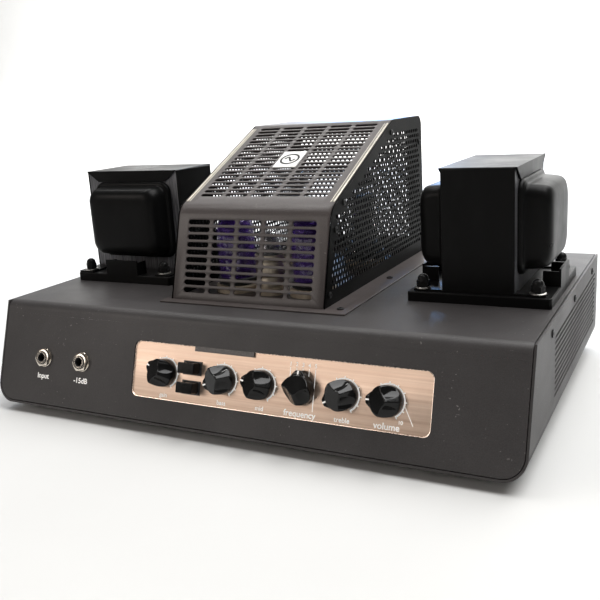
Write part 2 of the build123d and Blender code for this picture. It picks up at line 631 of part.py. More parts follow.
def coil():
    low, high = LAM_LOW + YOKE + 2.0, LAM_HIGH - YOKE - 2.0
    reach = CORE_D / 2 + 15.0
    turns = box(-reach, reach, -YOKE * 2 + 2.5, YOKE * 2 - 2.5, low, high)
    turns = fillet(turns.edges().filter_by(Axis.Z), 6.0)
    leg = CORE_D / 2 + 0.1
    return turns - box(-leg, leg, -YOKE - 0.1, YOKE + 0.1, low - 1, high + 1)


def channel_frame(stud_x, stud_y):
    """Sheet over the stack, open towards the bells, with a lip over each bell and a foot at each stud."""
    half_d, half_w = CORE_D / 2, CORE_W / 2
    channel = box(-half_d, half_d, -half_w, half_w, LAM_LOW, CORE_TOP)
    channel -= box(-half_d - 1, half_d + 1, -LAM_W / 2, LAM_W / 2, LAM_LOW - 1, LAM_HIGH)
    channel = fillet(channel.edges().filter_by(Axis.X).group_by(Axis.Z)[-1], 1.6)
    lip_face = outline((-half_w, CORE_TOP), (half_w, CORE_TOP), (half_w - 12, CORE_TOP - 9),
                       (-half_w + 12, CORE_TOP - 9))
    for x in (-half_d - STEEL_T, half_d):
        channel += lying(lip_face, x, x + STEEL_T)
    foot = box(half_d, stud_x + 5.5, stud_y - 6, half_w, LAM_LOW, LAM_LOW + STEEL_T)
    foot -= Pos(stud_x, stud_y, 0) * disc(STUD_HOLE_R, 0, 20)
    for turn in (0, 180):
        for hand in (foot, mirror(foot, Plane.XZ)):
            channel += Rot(0, 0, turn) * hand
    return channel


def bell(side):
    """Hollow drawn-steel end bell on one face of the stack."""
    middle, tall = sum(BELL_Z) / 2, BELL_Z[1] - BELL_Z[0]
    start = CORE_D / 2 + 0.05
    collar_t, step = 3.5, 3.0
    inner = step + 1.3

    def block(x, thick, inset):
        return Pos(start + x, 0, middle) * Box(thick, 2 * (BELL_HALF - inset), tall - 2 * inset)

    collar = block(collar_t / 2, collar_t, 0)
    collar = fillet(collar.edges().filter_by(Axis.X), 8.0)
    dome = block(BELL_DEPTH / 2, BELL_DEPTH, step)
    dome = fillet(dome.edges().filter_by(Axis.X), 9.0)
    dome = fillet(dome.edges().group_by(Axis.X)[-1], 6.5)
    room = block(BELL_DEPTH / 2 - STEEL_T, BELL_DEPTH, inner)
    room = fillet(room.edges().filter_by(Axis.X), 7.5)
    room = fillet(room.edges().group_by(Axis.X)[-1], 5.0)
    shell = collar + dome - room
    return shell if side > 0 else Rot(0, 0, 180) * shell


def tray(wide, deep):
    """Shallow folded tray; the tongues rise towards both bells."""
    height = TRAY[2]
    body = box(-wide / 2, wide / 2, -deep / 2, deep / 2, 0, height)
    body = fillet(body.edges().filter_by(Axis.Z), 2.5)
    body = fillet(body.edges().group_by(Axis.Z)[-1], 0.8)
    hollow = box(-wide / 2 + 9, wide / 2 - 9, -deep / 2 + 14, deep / 2 - 14, -1, height - 1.6)
    body -= hollow
    body -= box(-17, 17, -11, 11, 0, height + 1)
    for x, y in STUD_PATTERN:
        body -= Pos(x, y, 0) * disc(STUD_HOLE_R, -1, height + 1)
    return body


def tongue(along_x, reach):
    """Upturned tongue at a tray's edge, under a bell."""
    pair = []
    for side in (-1, 1):
        wall = box(reach - 1.6, reach, -16, 16, TRAY[2] - 2.0, 18.8)
        cheeks = [box(reach - 12, reach, y, y + 1.6, TRAY[2], 17.0) for y in (-16, 14.4)]
        piece = wall + cheeks
        turn = 0 if side > 0 else 180
        pair.append(Rot(0, 0, turn + (0 if along_x else 90)) * piece)
    return pair


def stud_and_nut():
    """Stud with a washer and an acorn nut on the frame's foot, and a lock nut under the chassis."""
    foot = LAM_LOW + STEEL_T
    seat, nut_h, across = foot + 1.0, 5.0, 8.0
    dome_r = 3.9
    stud = disc(STUD_R, -9.0, seat + nut_h - 1.0)
    washer = disc(5.4, foot, seat)
    nut = prism(6, across, seat, seat + nut_h)
    dome = Pos(0, 0, seat + nut_h) * (Sphere(dome_r) & disc(dome_r + 1, 0, dome_r + 1))
    lock = prism(6, across, -5.5 - SHEET, -SHEET)
    return stud + washer + nut + dome + lock


def transformer_parts():
    studs, trays = [], []
    for name, centre, turn in (("power_transformer", POWER_TRANSFORMER, 0),
                               ("output_transformer", OUTPUT_TRANSFORMER, 90)):
        seat = Pos(*centre, TOP)
        turned = seat * Rot(0, 0, turn)
        parts[name + "_core"] = turned * laminated_core()
        parts[name + "_coil"] = turned * coil()
        stud_x, stud_y = STUD_REACH if turn == 0 else reversed(STUD_REACH)
        parts[name + "_frame"] = turned * channel_frame(stud_x, stud_y)
        parts[name + "_bells"] = group([turned * bell(1), turned * bell(-1)])
        reach = TRAY[0] / 2 if turn == 0 else TRAY[1] / 2
        base = tray(TRAY[0], TRAY[1]) + tongue(turn == 0, reach)
        trays.append(seat * base)
        studs += [seat * Pos(x, y, 0) * stud_and_nut() for x, y in STUD_PATTERN]
    parts["transformer_trays"] = group(trays)
    parts["transformer_studs"] = group(studs)


# ---- build and write -----------------------------------------------------------------------------
def build():
    chassis_parts()
    control_parts()
    rear_parts()
    inner_parts()
    cage_parts()
    valve_parts()
    transformer_parts()
    low = min(piece.bounding_box().min.Y for piece in parts.values())
    high = max(piece.bounding_box().max.Y for piece in parts.values())
    return -(low + high) / 2


SHIFT_Y = build()
os.makedirs("parts", exist_ok=True)
for node, piece in parts.items():
    export_step(Pos(0, SHIFT_Y, 0) * piece, f"parts/{node}.step")
print("nodes", len(parts), "shift along Y", round(SHIFT_Y, 4))
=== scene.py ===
"""Looks of the amplifier head: detailed pieces, procedural materials, light and camera.

Metres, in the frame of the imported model. +X is right seen from the front, the controls face -Y.
"""
import json
import math
import random

import bmesh
import bpy
from mathutils import Matrix, Vector


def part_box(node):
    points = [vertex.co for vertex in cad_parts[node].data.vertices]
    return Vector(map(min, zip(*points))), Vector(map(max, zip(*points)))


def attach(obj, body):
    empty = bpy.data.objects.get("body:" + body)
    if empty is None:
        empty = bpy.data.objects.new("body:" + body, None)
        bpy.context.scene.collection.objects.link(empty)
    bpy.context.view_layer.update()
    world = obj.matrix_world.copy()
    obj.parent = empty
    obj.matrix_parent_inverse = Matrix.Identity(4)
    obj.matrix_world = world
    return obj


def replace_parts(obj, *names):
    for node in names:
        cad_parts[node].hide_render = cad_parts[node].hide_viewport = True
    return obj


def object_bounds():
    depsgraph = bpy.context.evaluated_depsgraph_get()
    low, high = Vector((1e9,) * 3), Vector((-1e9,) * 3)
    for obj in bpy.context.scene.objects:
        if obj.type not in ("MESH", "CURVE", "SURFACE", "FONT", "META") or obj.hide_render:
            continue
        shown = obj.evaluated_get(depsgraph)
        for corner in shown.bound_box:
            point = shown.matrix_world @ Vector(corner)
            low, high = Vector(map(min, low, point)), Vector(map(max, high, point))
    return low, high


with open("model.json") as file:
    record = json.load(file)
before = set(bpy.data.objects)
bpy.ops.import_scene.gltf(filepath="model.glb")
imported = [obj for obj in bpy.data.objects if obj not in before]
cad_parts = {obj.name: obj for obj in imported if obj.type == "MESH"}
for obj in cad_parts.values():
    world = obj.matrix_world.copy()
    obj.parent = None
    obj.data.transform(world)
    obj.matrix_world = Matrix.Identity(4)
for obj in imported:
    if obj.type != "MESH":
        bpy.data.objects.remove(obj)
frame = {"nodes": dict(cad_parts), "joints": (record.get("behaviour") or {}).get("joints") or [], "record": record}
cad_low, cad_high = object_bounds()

MM = 0.001
NODES = frame["nodes"]
JOINTS = {joint["name"]: joint for joint in frame["joints"]}
MAIN = "amplifier"

# ---- driving values
ROW_SLOPE = 41.1 * MM         # control row, down the slope from the top edge
PLATE_RECESS = 1.5 * MM       # control plate behind the front sheet's face
KNOB_LIFT = 1.0 * MM          # knobs above the control plate
WINDOW = (-74.0, 146.5, 20.4, 60.1)   # x from, x to, slope distance from, to, in mm
JACK_X = (-158.3 * MM, -121.3 * MM)
DIAL_R = 10.85 * MM
PRINT_T = 0.05 * MM           # height of a print on the control plate
WORD_SLOPE = 56.6 * MM        # words under the dials, down the slope
FIGURE_SLOPE = 25.4 * MM      # selector's figures, down the slope
FIGURE_PITCH = 4.45 * MM
LEADER = [(10.6, -2.6), (16.4, -13.4), (16.75, -13.2), (10.95, -2.4)]    # mm round the volume dial
CAGE_T = 1.2 * MM
CAGE_LEAN = math.radians(17.3)
CAGE_FRONT = 64.8 * MM        # height of the front face, to its corner
CAGE_TOP = 67.2 * MM          # depth of the flat top, from its corner to the back
CAGE_BENDS = (14 * MM, 12 * MM, 8 * MM)   # outer bend radii, front to back
BEND_STEPS = 10
SLOT_COLUMNS = 5
SLOT_X = -49.2 * MM           # first column of slots
SLOT_PITCH = 21.71 * MM
SLOT_W, SLOT_H = 18.8 * MM, 3.6 * MM
FRONT_SLOTS, FRONT_PITCH = 10, 5.57 * MM
SLOPE_SLOTS, SLOPE_PITCH = 20, 5.54 * MM
PERF_R = 1.55 * MM            # perforation hole radius
PERF_PITCH = 4.5 * MM
PERF_T = 0.7 * MM             # thinned round the holes
PERF_TURN = 0.39              # radians: sets the holes' eight sides level
BASE_CUT = 6.5 * MM           # the shown valve bases sit this much lower in their sockets
BELL_DEPTH = 21.0 * MM


# ---- frame of the leaning front
KNOBS = ["gain", "bass", "middle", "frequency", "treble", "volume"]
NORMAL = Vector(JOINTS["gain_turn"]["axis"]).normalized()
RIGHT = Vector((1, 0, 0))
UP_SLOPE = NORMAL.cross(RIGHT).normalized()
ROW_ORIGIN = Vector(JOINTS["gain_turn"]["pos_m"])
ROW_ORIGIN.x = 0.0


def front_matrix(x, slope, out=0.0):
    """Local frame on the front: local x right, y up the slope, z out of it."""
    place = ROW_ORIGIN + RIGHT * x + UP_SLOPE * (ROW_SLOPE - slope) + NORMAL * out
    rows = Matrix((RIGHT, UP_SLOPE, NORMAL)).transposed().to_4x4()
    return Matrix.Translation(place) @ rows


def flat_matrix(origin, right, up):
    """Local frame from an origin and two directions."""
    right, up = Vector(right).normalized(), Vector(up).normalized()
    rows = Matrix((right, up, right.cross(up))).transposed().to_4x4()
    return Matrix.Translation(Vector(origin)) @ rows


# ---- node material helpers
class Shader:
    """A small wrapper round one material's node tree."""

    def __init__(self, name, color, rough, metal=0.0):
        self.mat = bpy.data.materials.new(name)
        self.mat.use_nodes = True
        self.tree = self.mat.node_tree
        self.bsdf = self.tree.nodes["Principled BSDF"]
        self.set("Base Color", (*color, 1.0))
        self.set("Roughness", rough)
        self.set("Metallic", metal)
        self.coord = self.tree.nodes.new("ShaderNodeTexCoord").outputs["Object"]

    def set(self, socket, value):
        self.bsdf.inputs[socket].default_value = value

    def link(self, output, socket):
        self.tree.links.new(output, self.bsdf.inputs[socket])

    def feed(self, target, value):
        """Links an output to the target input, or sets the input's own value."""
        if isinstance(value, bpy.types.NodeSocket):
            self.tree.links.new(value, target)
        else:
            target.default_value = value

    def add(self, kind, **inputs):
        made = self.tree.nodes.new(kind)
        for key, value in inputs.items():
            self.feed(made.inputs[key], value)
        return made

    def scaled(self, *scale):
        """Object coordinates stretched by x, y and z."""
        return self.add("ShaderNodeMapping", Vector=self.coord, Scale=scale).outputs["Vector"]

    def noise(self, scale, detail=2.0, rough=0.5, vector=None, distortion=0.0):
        made = self.add("ShaderNodeTexNoise", Scale=scale, Detail=detail, Roughness=rough,
                        Distortion=distortion, Vector=vector or self.coord)
        return made.outputs["Fac"]

    def ramp(self, value, stops):
        """Colour ramp: stops are (position, grey or colour)."""
        made = self.add("ShaderNodeValToRGB", Fac=value)
        elements = made.color_ramp.elements
        while len(elements) < len(stops):
            elements.new(0.5)
        for element, (place, color) in zip(elements, stops):
            element.position = place
            element.color = (color, color, color, 1.0) if isinstance(color, float) else (*color, 1.0)
        return made.outputs["Color"]

    def mix(self, factor, a, b, blend="MIX"):
        """Mixes a and b, each a colour or an output."""
        made = self.tree.nodes.new("ShaderNodeMix")
        made.data_type = "RGBA"
        made.blend_type = blend
        for index, value in ((0, factor), (6, a), (7, b)):
            self.feed(made.inputs[index], (*value, 1.0) if isinstance(value, tuple) else value)
        return made.outputs[2]

    def times(self, a, b):
        made = self.tree.nodes.new("ShaderNodeMath")
        made.operation = "MULTIPLY"
        self.feed(made.inputs[0], a)
        self.feed(made.inputs[1], b)
        return made.outputs[0]

    def bump(self, height, strength, distance):
        made = self.add("ShaderNodeBump", Height=height, Strength=strength, Distance=distance)
        self.link(made.outputs["Normal"], "Normal")


def shaded(color, gain, extra=0.0):
    """A lighter or darker version of a colour."""
    return tuple(min(1.0, c * gain + extra) for c in color)


def powder_coat(name, dark, light, rough=0.5, grain=1500.0, dust=0.5, shine=0.4):
    """Fine textured powder coat with soft cloudy variation and pale dust specks."""
    s = Shader(name, dark, rough)
    s.set("Specular IOR Level", shine)
    clouds = s.ramp(s.noise(14.0, 4.0, 0.6), [(0.3, 0.0), (0.75, 1.0)])
    base = s.mix(clouds, dark, light)
    fine = s.noise(grain, 3.0, 0.6)
    tone = s.ramp(fine, [(0.25, 0.72), (0.75, 1.25)])
    base = s.mix(1.0, base, tone, "MULTIPLY")
    specks = s.ramp(s.noise(620.0, 1.0, 0.4), [(0.735, 0.0), (0.775, 1.0)])
    patches = s.ramp(s.noise(38.0, 3.0, 0.7), [(0.45, 0.0), (0.7, dust)])
    base = s.mix(s.times(specks, patches), base, (0.42, 0.40, 0.38))
    s.link(base, "Base Color")
    smear = s.ramp(s.noise(9.0, 5.0, 0.65, distortion=0.6), [(0.3, rough - 0.07), (0.8, rough + 0.1)])
    s.link(smear, "Roughness")
    s.bump(fine, 0.28, 0.00012)
    return s.mat


def enamel(name, dark, rough=0.3, peel=420.0):
    """Black transformer enamel with a little orange peel and faint scuffs."""
    s = Shader(name, dark, rough)
    s.set("Specular IOR Level", 0.08)
    scuffs = s.ramp(s.noise(60.0, 5.0, 0.7, s.scaled(1.0, 1.0, 0.25)), [(0.5, 0.0), (0.9, 0.35)])
    s.link(s.mix(scuffs, dark, shaded(dark, 2.2, 0.004)), "Base Color")
    s.link(s.ramp(s.noise(24.0, 4.0, 0.6), [(0.3, rough - 0.05), (0.8, rough + 0.13)]), "Roughness")
    s.bump(s.noise(peel, 2.0, 0.5), 0.12, 0.00015)
    return s.mat


def brushed_copper(name):
    """Rose-gold plate brushed lengthways, with faint smudges and fine scratches."""
    s = Shader(name, (0.78, 0.53, 0.40), 0.28, 1.0)
    s.set("Anisotropic", 0.55)
    lines = s.noise(260.0, 5.0, 0.7, s.scaled(0.035, 3.0, 3.0))
    long_lines = s.noise(90.0, 3.0, 0.6, s.scaled(0.012, 4.0, 4.0))
    tone = s.mix(s.ramp(lines, [(0.3, 0.0), (0.7, 1.0)]), (0.64, 0.46, 0.35), (0.84, 0.65, 0.52))
    tone = s.mix(s.times(s.ramp(long_lines, [(0.45, 0.0), (0.75, 1.0)]), 0.35), tone,
                 (0.93, 0.78, 0.65))
    smudge = s.ramp(s.noise(22.0, 5.0, 0.65, distortion=1.0), [(0.42, 0.0), (0.8, 0.35)])
    s.link(s.mix(smudge, tone, (0.60, 0.44, 0.35)), "Base Color")
    s.link(s.ramp(lines, [(0.2, 0.30), (0.8, 0.48)]), "Roughness")
    s.bump(lines, 0.18, 0.00006)
    return s.mat


def gloss_plastic(name, color, rough=0.1, coat=0.5):
    """Polished moulding with very faint ripple and handling marks."""
    s = Shader(name, color, rough)
    s.set("Coat Weight", coat)
    s.set("Coat Roughness", 0.06)
    s.set("Specular IOR Level", 0.2)
    marks = s.noise(130.0, 5.0, 0.7)
    s.link(s.ramp(marks, [(0.35, rough), (0.85, rough + 0.16)]), "Roughness")
    lift = shaded(color, 1.7, 0.006)
    s.link(s.mix(s.ramp(s.noise(45.0, 3.0), [(0.4, 0.0), (0.8, 1.0)]), color, lift), "Base Color")
    s.bump(s.noise(300.0, 2.0), 0.04, 0.0001)
    return s.mat


def matte_plastic(name, color, rough=0.55, grain=900.0):
    s = Shader(name, color, rough)
    fine = s.noise(grain, 2.0)
    lift = shaded(color, 1.5, 0.01)
    s.link(s.mix(s.ramp(fine, [(0.35, 0.0), (0.75, 1.0)]), color, lift), "Base Color")
    s.link(s.ramp(s.noise(50.0, 4.0), [(0.3, rough - 0.08), (0.8, rough + 0.1)]), "Roughness")
    s.bump(fine, 0.25, 0.0001)
    return s.mat


def plated_metal(name, color, rough=0.2, brushed=(1.0, 1.0, 1.0)):
    """Nickel, zinc or dull plating with small stains."""
    s = Shader(name, color, rough, 1.0)
    grain = s.noise(700.0, 4.0, 0.65, s.scaled(*brushed))
    stain = s.ramp(s.noise(120.0, 4.0, 0.7), [(0.45, 0.0), (0.85, 0.5)])
    s.link(s.mix(stain, color, shaded(color, 0.55)), "Base Color")
    s.link(s.ramp(grain, [(0.25, max(0.05, rough - 0.08)), (0.8, rough + 0.14)]), "Roughness")
    s.bump(grain, 0.1, 0.00005)
    return s.mat


def valve_glass(name, color, alpha):
    """Thin tinted glass; its tint and haze vary at random."""
    s = Shader(name, color, 0.04)
    s.set("Transmission Weight", 0.55)
    s.set("IOR", 1.45)
    s.set("Coat Weight", 0.6)
    haze = s.ramp(s.noise(80.0, 4.0, 0.6), [(0.35, alpha - 0.08), (0.8, alpha + 0.12)])
    s.link(haze, "Alpha")
    deep = shaded(color, 0.45)
    s.link(s.mix(s.ramp(s.noise(60.0, 3.0), [(0.3, 0.0), (0.75, 1.0)]), deep, color), "Base Color")
    return s.mat


def ceramic(name):
    s = Shader(name, (0.60, 0.50, 0.38), 0.3)
    mottled = s.ramp(s.noise(240.0, 4.0, 0.6), [(0.3, 0.0), (0.75, 1.0)])
    s.link(s.mix(mottled, (0.50, 0.41, 0.31), (0.70, 0.61, 0.49)), "Base Color")
    s.link(s.ramp(s.noise(90.0, 3.0), [(0.3, 0.22), (0.8, 0.45)]), "Roughness")
    s.bump(mottled, 0.08, 0.0001)
    return s.mat


def laminations(name):
    """Edges of a varnished lamination stack: fine lines across the stack."""
    s = Shader(name, (0.10, 0.10, 0.11), 0.45, 0.6)
    lines = s.noise(900.0, 2.0, 0.5, s.scaled(2.5, 2.5, 0.05))
    s.link(s.mix(s.ramp(lines, [(0.35, 0.0), (0.65, 1.0)]), (0.04, 0.04, 0.045), (0.17, 0.17, 0.18)),
           "Base Color")
    s.bump(lines, 0.5, 0.0002)
    return s.mat


def print_white():
    """Slightly worn print; a faint painted glow keeps thin letters light."""
    s = Shader("print_white", (0.94, 0.92, 0.88), 0.5)
    worn = s.ramp(s.noise(500.0, 3.0, 0.7), [(0.3, 0.0), (0.6, 1.0)])
    s.link(s.mix(worn, (0.86, 0.82, 0.76), (0.98, 0.97, 0.95)), "Base Color")
    # painted glow: a faint emission makes the print brighter than the lamps alone would
    s.set("Emission Color", (1.0, 0.98, 0.95, 1.0))
    s.set("Emission Strength", 0.22)
    return s.mat


def floor_paper():
    s = Shader("floor_paper", (0.6, 0.6, 0.59), 0.75)
    s.link(s.mix(s.ramp(s.noise(3.0, 4.0), [(0.3, 0.0), (0.8, 1.0)]), (0.58, 0.58, 0.57),
                 (0.62, 0.62, 0.61)), "Base Color")
    return s.mat


RECIPES = {
    "chassis_coat": (powder_coat, (0.026, 0.0235, 0.0235), (0.042, 0.0385, 0.0385), 0.46),
    "cage_coat": (powder_coat, (0.054, 0.045, 0.043), (0.072, 0.062, 0.060), 0.36, 1800.0, 0.35, 0.28),
    # painted shade: the side panels get a near-black copy of the cage coat because they face away from the light
    "cage_side_coat": (powder_coat, (0.0012, 0.0012, 0.0011), (0.003, 0.003, 0.0028), 0.40, 1800.0, 0.05,
                       0.03),
    "transformer_black": (enamel, (0.0045, 0.0045, 0.0045), 0.32),
    "copper_plate": (brushed_copper,),
    "smoked_strip": (matte_plastic, (0.05, 0.044, 0.042), 0.35),
    "knob_black": (gloss_plastic, (0.003, 0.003, 0.003), 0.07, 0.15),
    "rubber": (matte_plastic, (0.02, 0.02, 0.02), 0.75, 600.0),
    "nickel": (plated_metal, (0.70, 0.64, 0.56), 0.16),
    "steel": (plated_metal, (0.52, 0.52, 0.53), 0.3),
    "black_screw": (enamel, (0.02, 0.02, 0.02), 0.28, 900.0),
    "black_plastic": (matte_plastic, (0.02, 0.02, 0.021), 0.45),
    "valve_glass": (valve_glass, (0.22, 0.10, 0.62), 0.62),
    "clear_glass": (valve_glass, (0.85, 0.88, 0.92), 0.22),
    "ceramic": (ceramic,),
    # painted reflection: the warm beige of the shield can stands in for warm light reflected in its plain metal
    "shield_can": (plated_metal, (0.66, 0.58, 0.47), 0.42, (1.0, 1.0, 0.1)),
    "electrode": (plated_metal, (0.16, 0.155, 0.16), 0.45),
    "board": (matte_plastic, (0.02, 0.11, 0.045), 0.35),
    "capacitor": (gloss_plastic, (0.02, 0.04, 0.16), 0.25, 0.3),
    "lamination": (laminations,),
    "coil": (matte_plastic, (0.45, 0.30, 0.12), 0.55, 400.0),
    "wire": (gloss_plastic, (0.45, 0.02, 0.015), 0.3, 0.2),
    "badge": (matte_plastic, (0.6, 0.6, 0.58), 0.4),
}
MATERIALS = {name: make(name, *values) for name, (make, *values) in RECIPES.items()}
PRINT = print_white()
# painted highlight: bright metal strips stand in for the highlights along the folds of the slope's edges
FOLD_HIGHLIGHT = plated_metal("painted_fold_highlight", (0.30, 0.28, 0.24), 0.34, (1.0, 0.1, 0.1))
BADGE_DARK = enamel("badge_dark", (0.02, 0.02, 0.02), 0.4, 900.0)
GETTER = plated_metal("getter", (0.30, 0.29, 0.31), 0.12)
RIM = plated_metal("plate_edge", (0.90, 0.76, 0.66), 0.25)
WASHER = plated_metal("washer_zinc", (0.62, 0.60, 0.56), 0.28)
ACORN = enamel("acorn_black", (0.010, 0.010, 0.010), 0.16, 900.0)


# ---- mesh helpers
def finish_piece(name, mesh, slot, matrix=Matrix.Identity(4), smooth=True, mat=None, angle=35.0, body=MAIN):
    """Links a mesh as a piece: material, smooth shading, body and slot."""
    obj = bpy.data.objects.new(name, mesh)
    bpy.context.scene.collection.objects.link(obj)
    mesh.transform(matrix)
    mesh.materials.clear()
    mesh.materials.append(mat or MATERIALS[slot])
    if smooth:
        shade(mesh, angle)
    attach(obj, body)
    return obj


def reshape(mesh, change, normals=True):
    """Runs change(bm) on a mesh, turns its normals out and writes it back."""
    bm = bmesh.new()
    bm.from_mesh(mesh)
    change(bm)
    if normals:
        bmesh.ops.recalc_face_normals(bm, faces=bm.faces)
    bm.to_mesh(mesh)
    bm.free()
    return mesh


def mesh_from(build):
    """New mesh made by build(bm)."""
    return reshape(bpy.data.meshes.new("piece"), build)


def weld(bm, distance=1e-6):
    bmesh.ops.remove_doubles(bm, verts=bm.verts, dist=distance)


def shade(mesh, angle):
    """Smooth faces with sharp edges over the angle, in degrees."""
    def mark(bm):
        for face in bm.faces:
            face.smooth = True
        for edge in bm.edges:
            if len(edge.link_faces) == 2:
                edge.smooth = edge.calc_face_angle(0.0) < math.radians(angle)
    reshape(mesh, mark, normals=False)


def skin(bm, loops, capped=True):
    """Joins rings of points with quads; caps are fanned from the centre of each end."""
    rings = [[bm.verts.new(p) for p in loop] for loop in loops]
    count = len(rings[0])
    for a, b in zip(rings, rings[1:]):
        for i in range(count):
            j = (i + 1) % count
            bm.faces.new((a[i], a[j], b[j], b[i]))
    for ring in (rings[0], rings[-1]) if capped else ():
        centre = bm.verts.new(sum((v.co for v in ring), Vector()) / count)
        for i in range(count):
            bm.faces.new((ring[i], ring[(i + 1) % count], centre))


def prism(bm, outline, low, high):
    """Upright solid over an outline of (x, y) points."""
    skin(bm, [[Vector((a, b, height)) for a, b in outline] for height in (low, high)])


def lathe(bm, profile, segments=48, matrix=Matrix.Identity(4), ring=False):
    """Turns a profile of (radius, height) about local Z: capped at both ends, or closed into a ring."""
    closed = profile + profile[:1] if ring else profile
    skin(bm, [[matrix @ Vector((x, y, height)) for x, y in circle_points(0, 0, radius, segments)]
              for radius, height in closed], not ring)
    if ring:
        weld(bm, 1e-7)


def crown_points(r0, z0, r1, z1, steps):
    """Points of a shoulder curving from (r0, z0) inwards to (r1, z1)."""
    points = []
    for i in range(1, steps + 1):
        t = i / steps
        a, b, c = (1 - t) ** 2, 2 * t * (1 - t), t ** 2
        points.append((a * r0 + b * r0 + c * r1, a * z0 + b * z1 + c * z1))
    return points


def rounded_rect(half_a, half_b, radius, steps=8):
    """Points of a rounded rectangle about the origin, counter-clockwise."""
    points = []
    for cx, cy, start in ((half_a - radius, half_b - radius, 0), (radius - half_a, half_b - radius, 90),
                          (radius - half_a, radius - half_b, 180), (half_a - radius, radius - half_b, 270)):
        for i in range(steps + 1):
            turn = math.radians(start + 90 * i / steps)
            points.append((cx + radius * math.cos(turn), cy + radius * math.sin(turn)))
    return points


def slot_points(cx, cy):
    """A slot of the cage, with round ends."""
    radius = SLOT_H / 2
    return [(cx + x, cy + y) for x, y in rounded_rect(SLOT_W / 2, radius, radius * 0.999, 5)]


def circle_points(cx, cy, radius, count, turn=0.0):
    turns = [turn + 2 * math.pi * i / count for i in range(count)]
    return [(cx + radius * math.cos(t), cy + radius * math.sin(t)) for t in turns]


def hole_points(cx, cy):
    """A perforation, with eight sides."""
    return circle_points(cx, cy, PERF_R, 8, PERF_TURN)


def curve_mesh(curve):
    """Mesh of a curve or a text, which is then removed."""
    holder = bpy.data.objects.new("holder", curve)
    bpy.context.scene.collection.objects.link(holder)
    bpy.context.view_layer.update()
    mesh = bpy.data.meshes.new_from_object(holder.evaluated_get(bpy.context.evaluated_depsgraph_get()))
    bpy.data.objects.remove(holder)
    bpy.data.curves.remove(curve)
    return mesh


def sheet_with_holes(outline, holes, thickness, bevel=0.0):
    """Flat sheet in local x and y with holes, centred on local z = 0."""
    curve = bpy.data.curves.new("flat", "CURVE")
    curve.dimensions = "2D"
    curve.fill_mode = "BOTH"
    curve.extrude = thickness / 2 - bevel
    curve.bevel_depth = bevel
    curve.bevel_resolution = 1
    curve.offset = -bevel
    for loop in [outline] + holes:
        spline = curve.splines.new("POLY")
        spline.points.add(len(loop) - 1)
        for point, (x, y) in zip(spline.points, loop):
            point.co = (x, y, 0.0, 1.0)
        spline.use_cyclic_u = True
    return reshape(curve_mesh(curve), weld)


def star_mesh(field, centre, reach, across, along):
    """Mesh of a solid seen whole from a point inside: field(p) is negative inside it."""
    def surface(ray):
        """Where a ray from the centre leaves the solid, by halving."""
        near, far = 0.0, reach
        for _ in range(22):
            middle = (near + far) / 2
            if field(centre + ray * middle) < 0:
                near = middle
            else:
                far = middle
        return centre + ray * near

    def build(bm):
        rings = []
        for row in range(along + 1):
            polar = math.pi * row / along
            count = 1 if row in (0, along) else across
            rings.append([bm.verts.new(surface(Vector((x, y, -math.cos(polar)))))
                          for x, y in circle_points(0, 0, math.sin(polar), count)])
        for a, b in zip(rings, rings[1:]):
            for i in range(across):
                j = (i + 1) % across
                corners = [a[i % len(a)], a[j % len(a)], b[j % len(b)], b[i % len(b)]]
                unique = list(dict.fromkeys(corners))
                if len(unique) > 2:
                    bm.faces.new(unique)
    return mesh_from(build)


def smooth_max(values, soft):
    """Largest value, with rounded edges where two come close."""
    top = max(values)
    return top + soft * math.log(sum(math.exp((v - top) / soft) for v in values))


# ---- knobs
KNOB_APEX = (-3.0, 12.35)             # mm: along the pointer's axis, height
POINTER_TILT = math.radians(24.0)
SIDE_TILT, SIDE_TURN = math.radians(52.6), math.radians(50.0)


def knob_field(p):
    """Pointer knob in millimetres, standing on z = 0, pointer towards +Y, three facets on top."""
    x, y, z = p
    soft = 0.2
    wall = math.hypot(x, y) - (9.85 - 0.03 * z)
    nose = smooth_max([abs(x) - (2.0 + 0.84 * (12.5 - y)), y - 12.5, z - 5.9, 5.6 - y], soft)
    base = -soft * math.log(math.exp(-wall / soft) + math.exp(-nose / soft))
    along, rise = y - KNOB_APEX[0], z - KNOB_APEX[1]
    faces = [along * math.sin(POINTER_TILT) + rise * math.cos(POINTER_TILT)]
    for hand in (-1, 1):
        plane = (hand * x * math.sin(SIDE_TILT) * math.cos(SIDE_TURN)
                 - along * math.sin(SIDE_TILT) * math.sin(SIDE_TURN) + rise * math.cos(SIDE_TILT))
        scoop = math.hypot((hand * x - 5.6) / 3.6, (y + 2.6) / 5.2)
        faces.append(plane + 0.9 * max(0.0, 1.0 - scoop * scoop))
    return smooth_max([base, -z, *faces], soft)


def build_knobs():
    body_mesh = star_mesh(knob_field, Vector((0, 0.5, 3.0)), 22.0, 160, 110)
    for name in KNOBS:
        joint = JOINTS[name + "_turn"]
        low, high = joint["range_deg"]
        turn = math.radians(-(low + high) / 2)
        x = joint["pos_m"][0]
        seat = front_matrix(x, ROW_SLOPE, KNOB_LIFT - PLATE_RECESS) @ Matrix.Rotation(turn, 4, "Z")
        place = seat @ Matrix.Scale(MM, 4)
        body = name + "_control"
        knob = finish_piece(name + "_knob_body", body_mesh.copy(), "knob_black", place, angle=60, body=body)
        mark = mesh_from(lambda bm: prism(bm, rounded_rect(0.5, 1.25, 0.4, 4), -0.3, 0.1))
        mark.transform(Matrix.Translation((0, 11.0, 5.9)))
        finish_piece(name + "_index_line", mark, "knob_black", place, mat=PRINT, body=body)
        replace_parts(knob, name + "_knob")


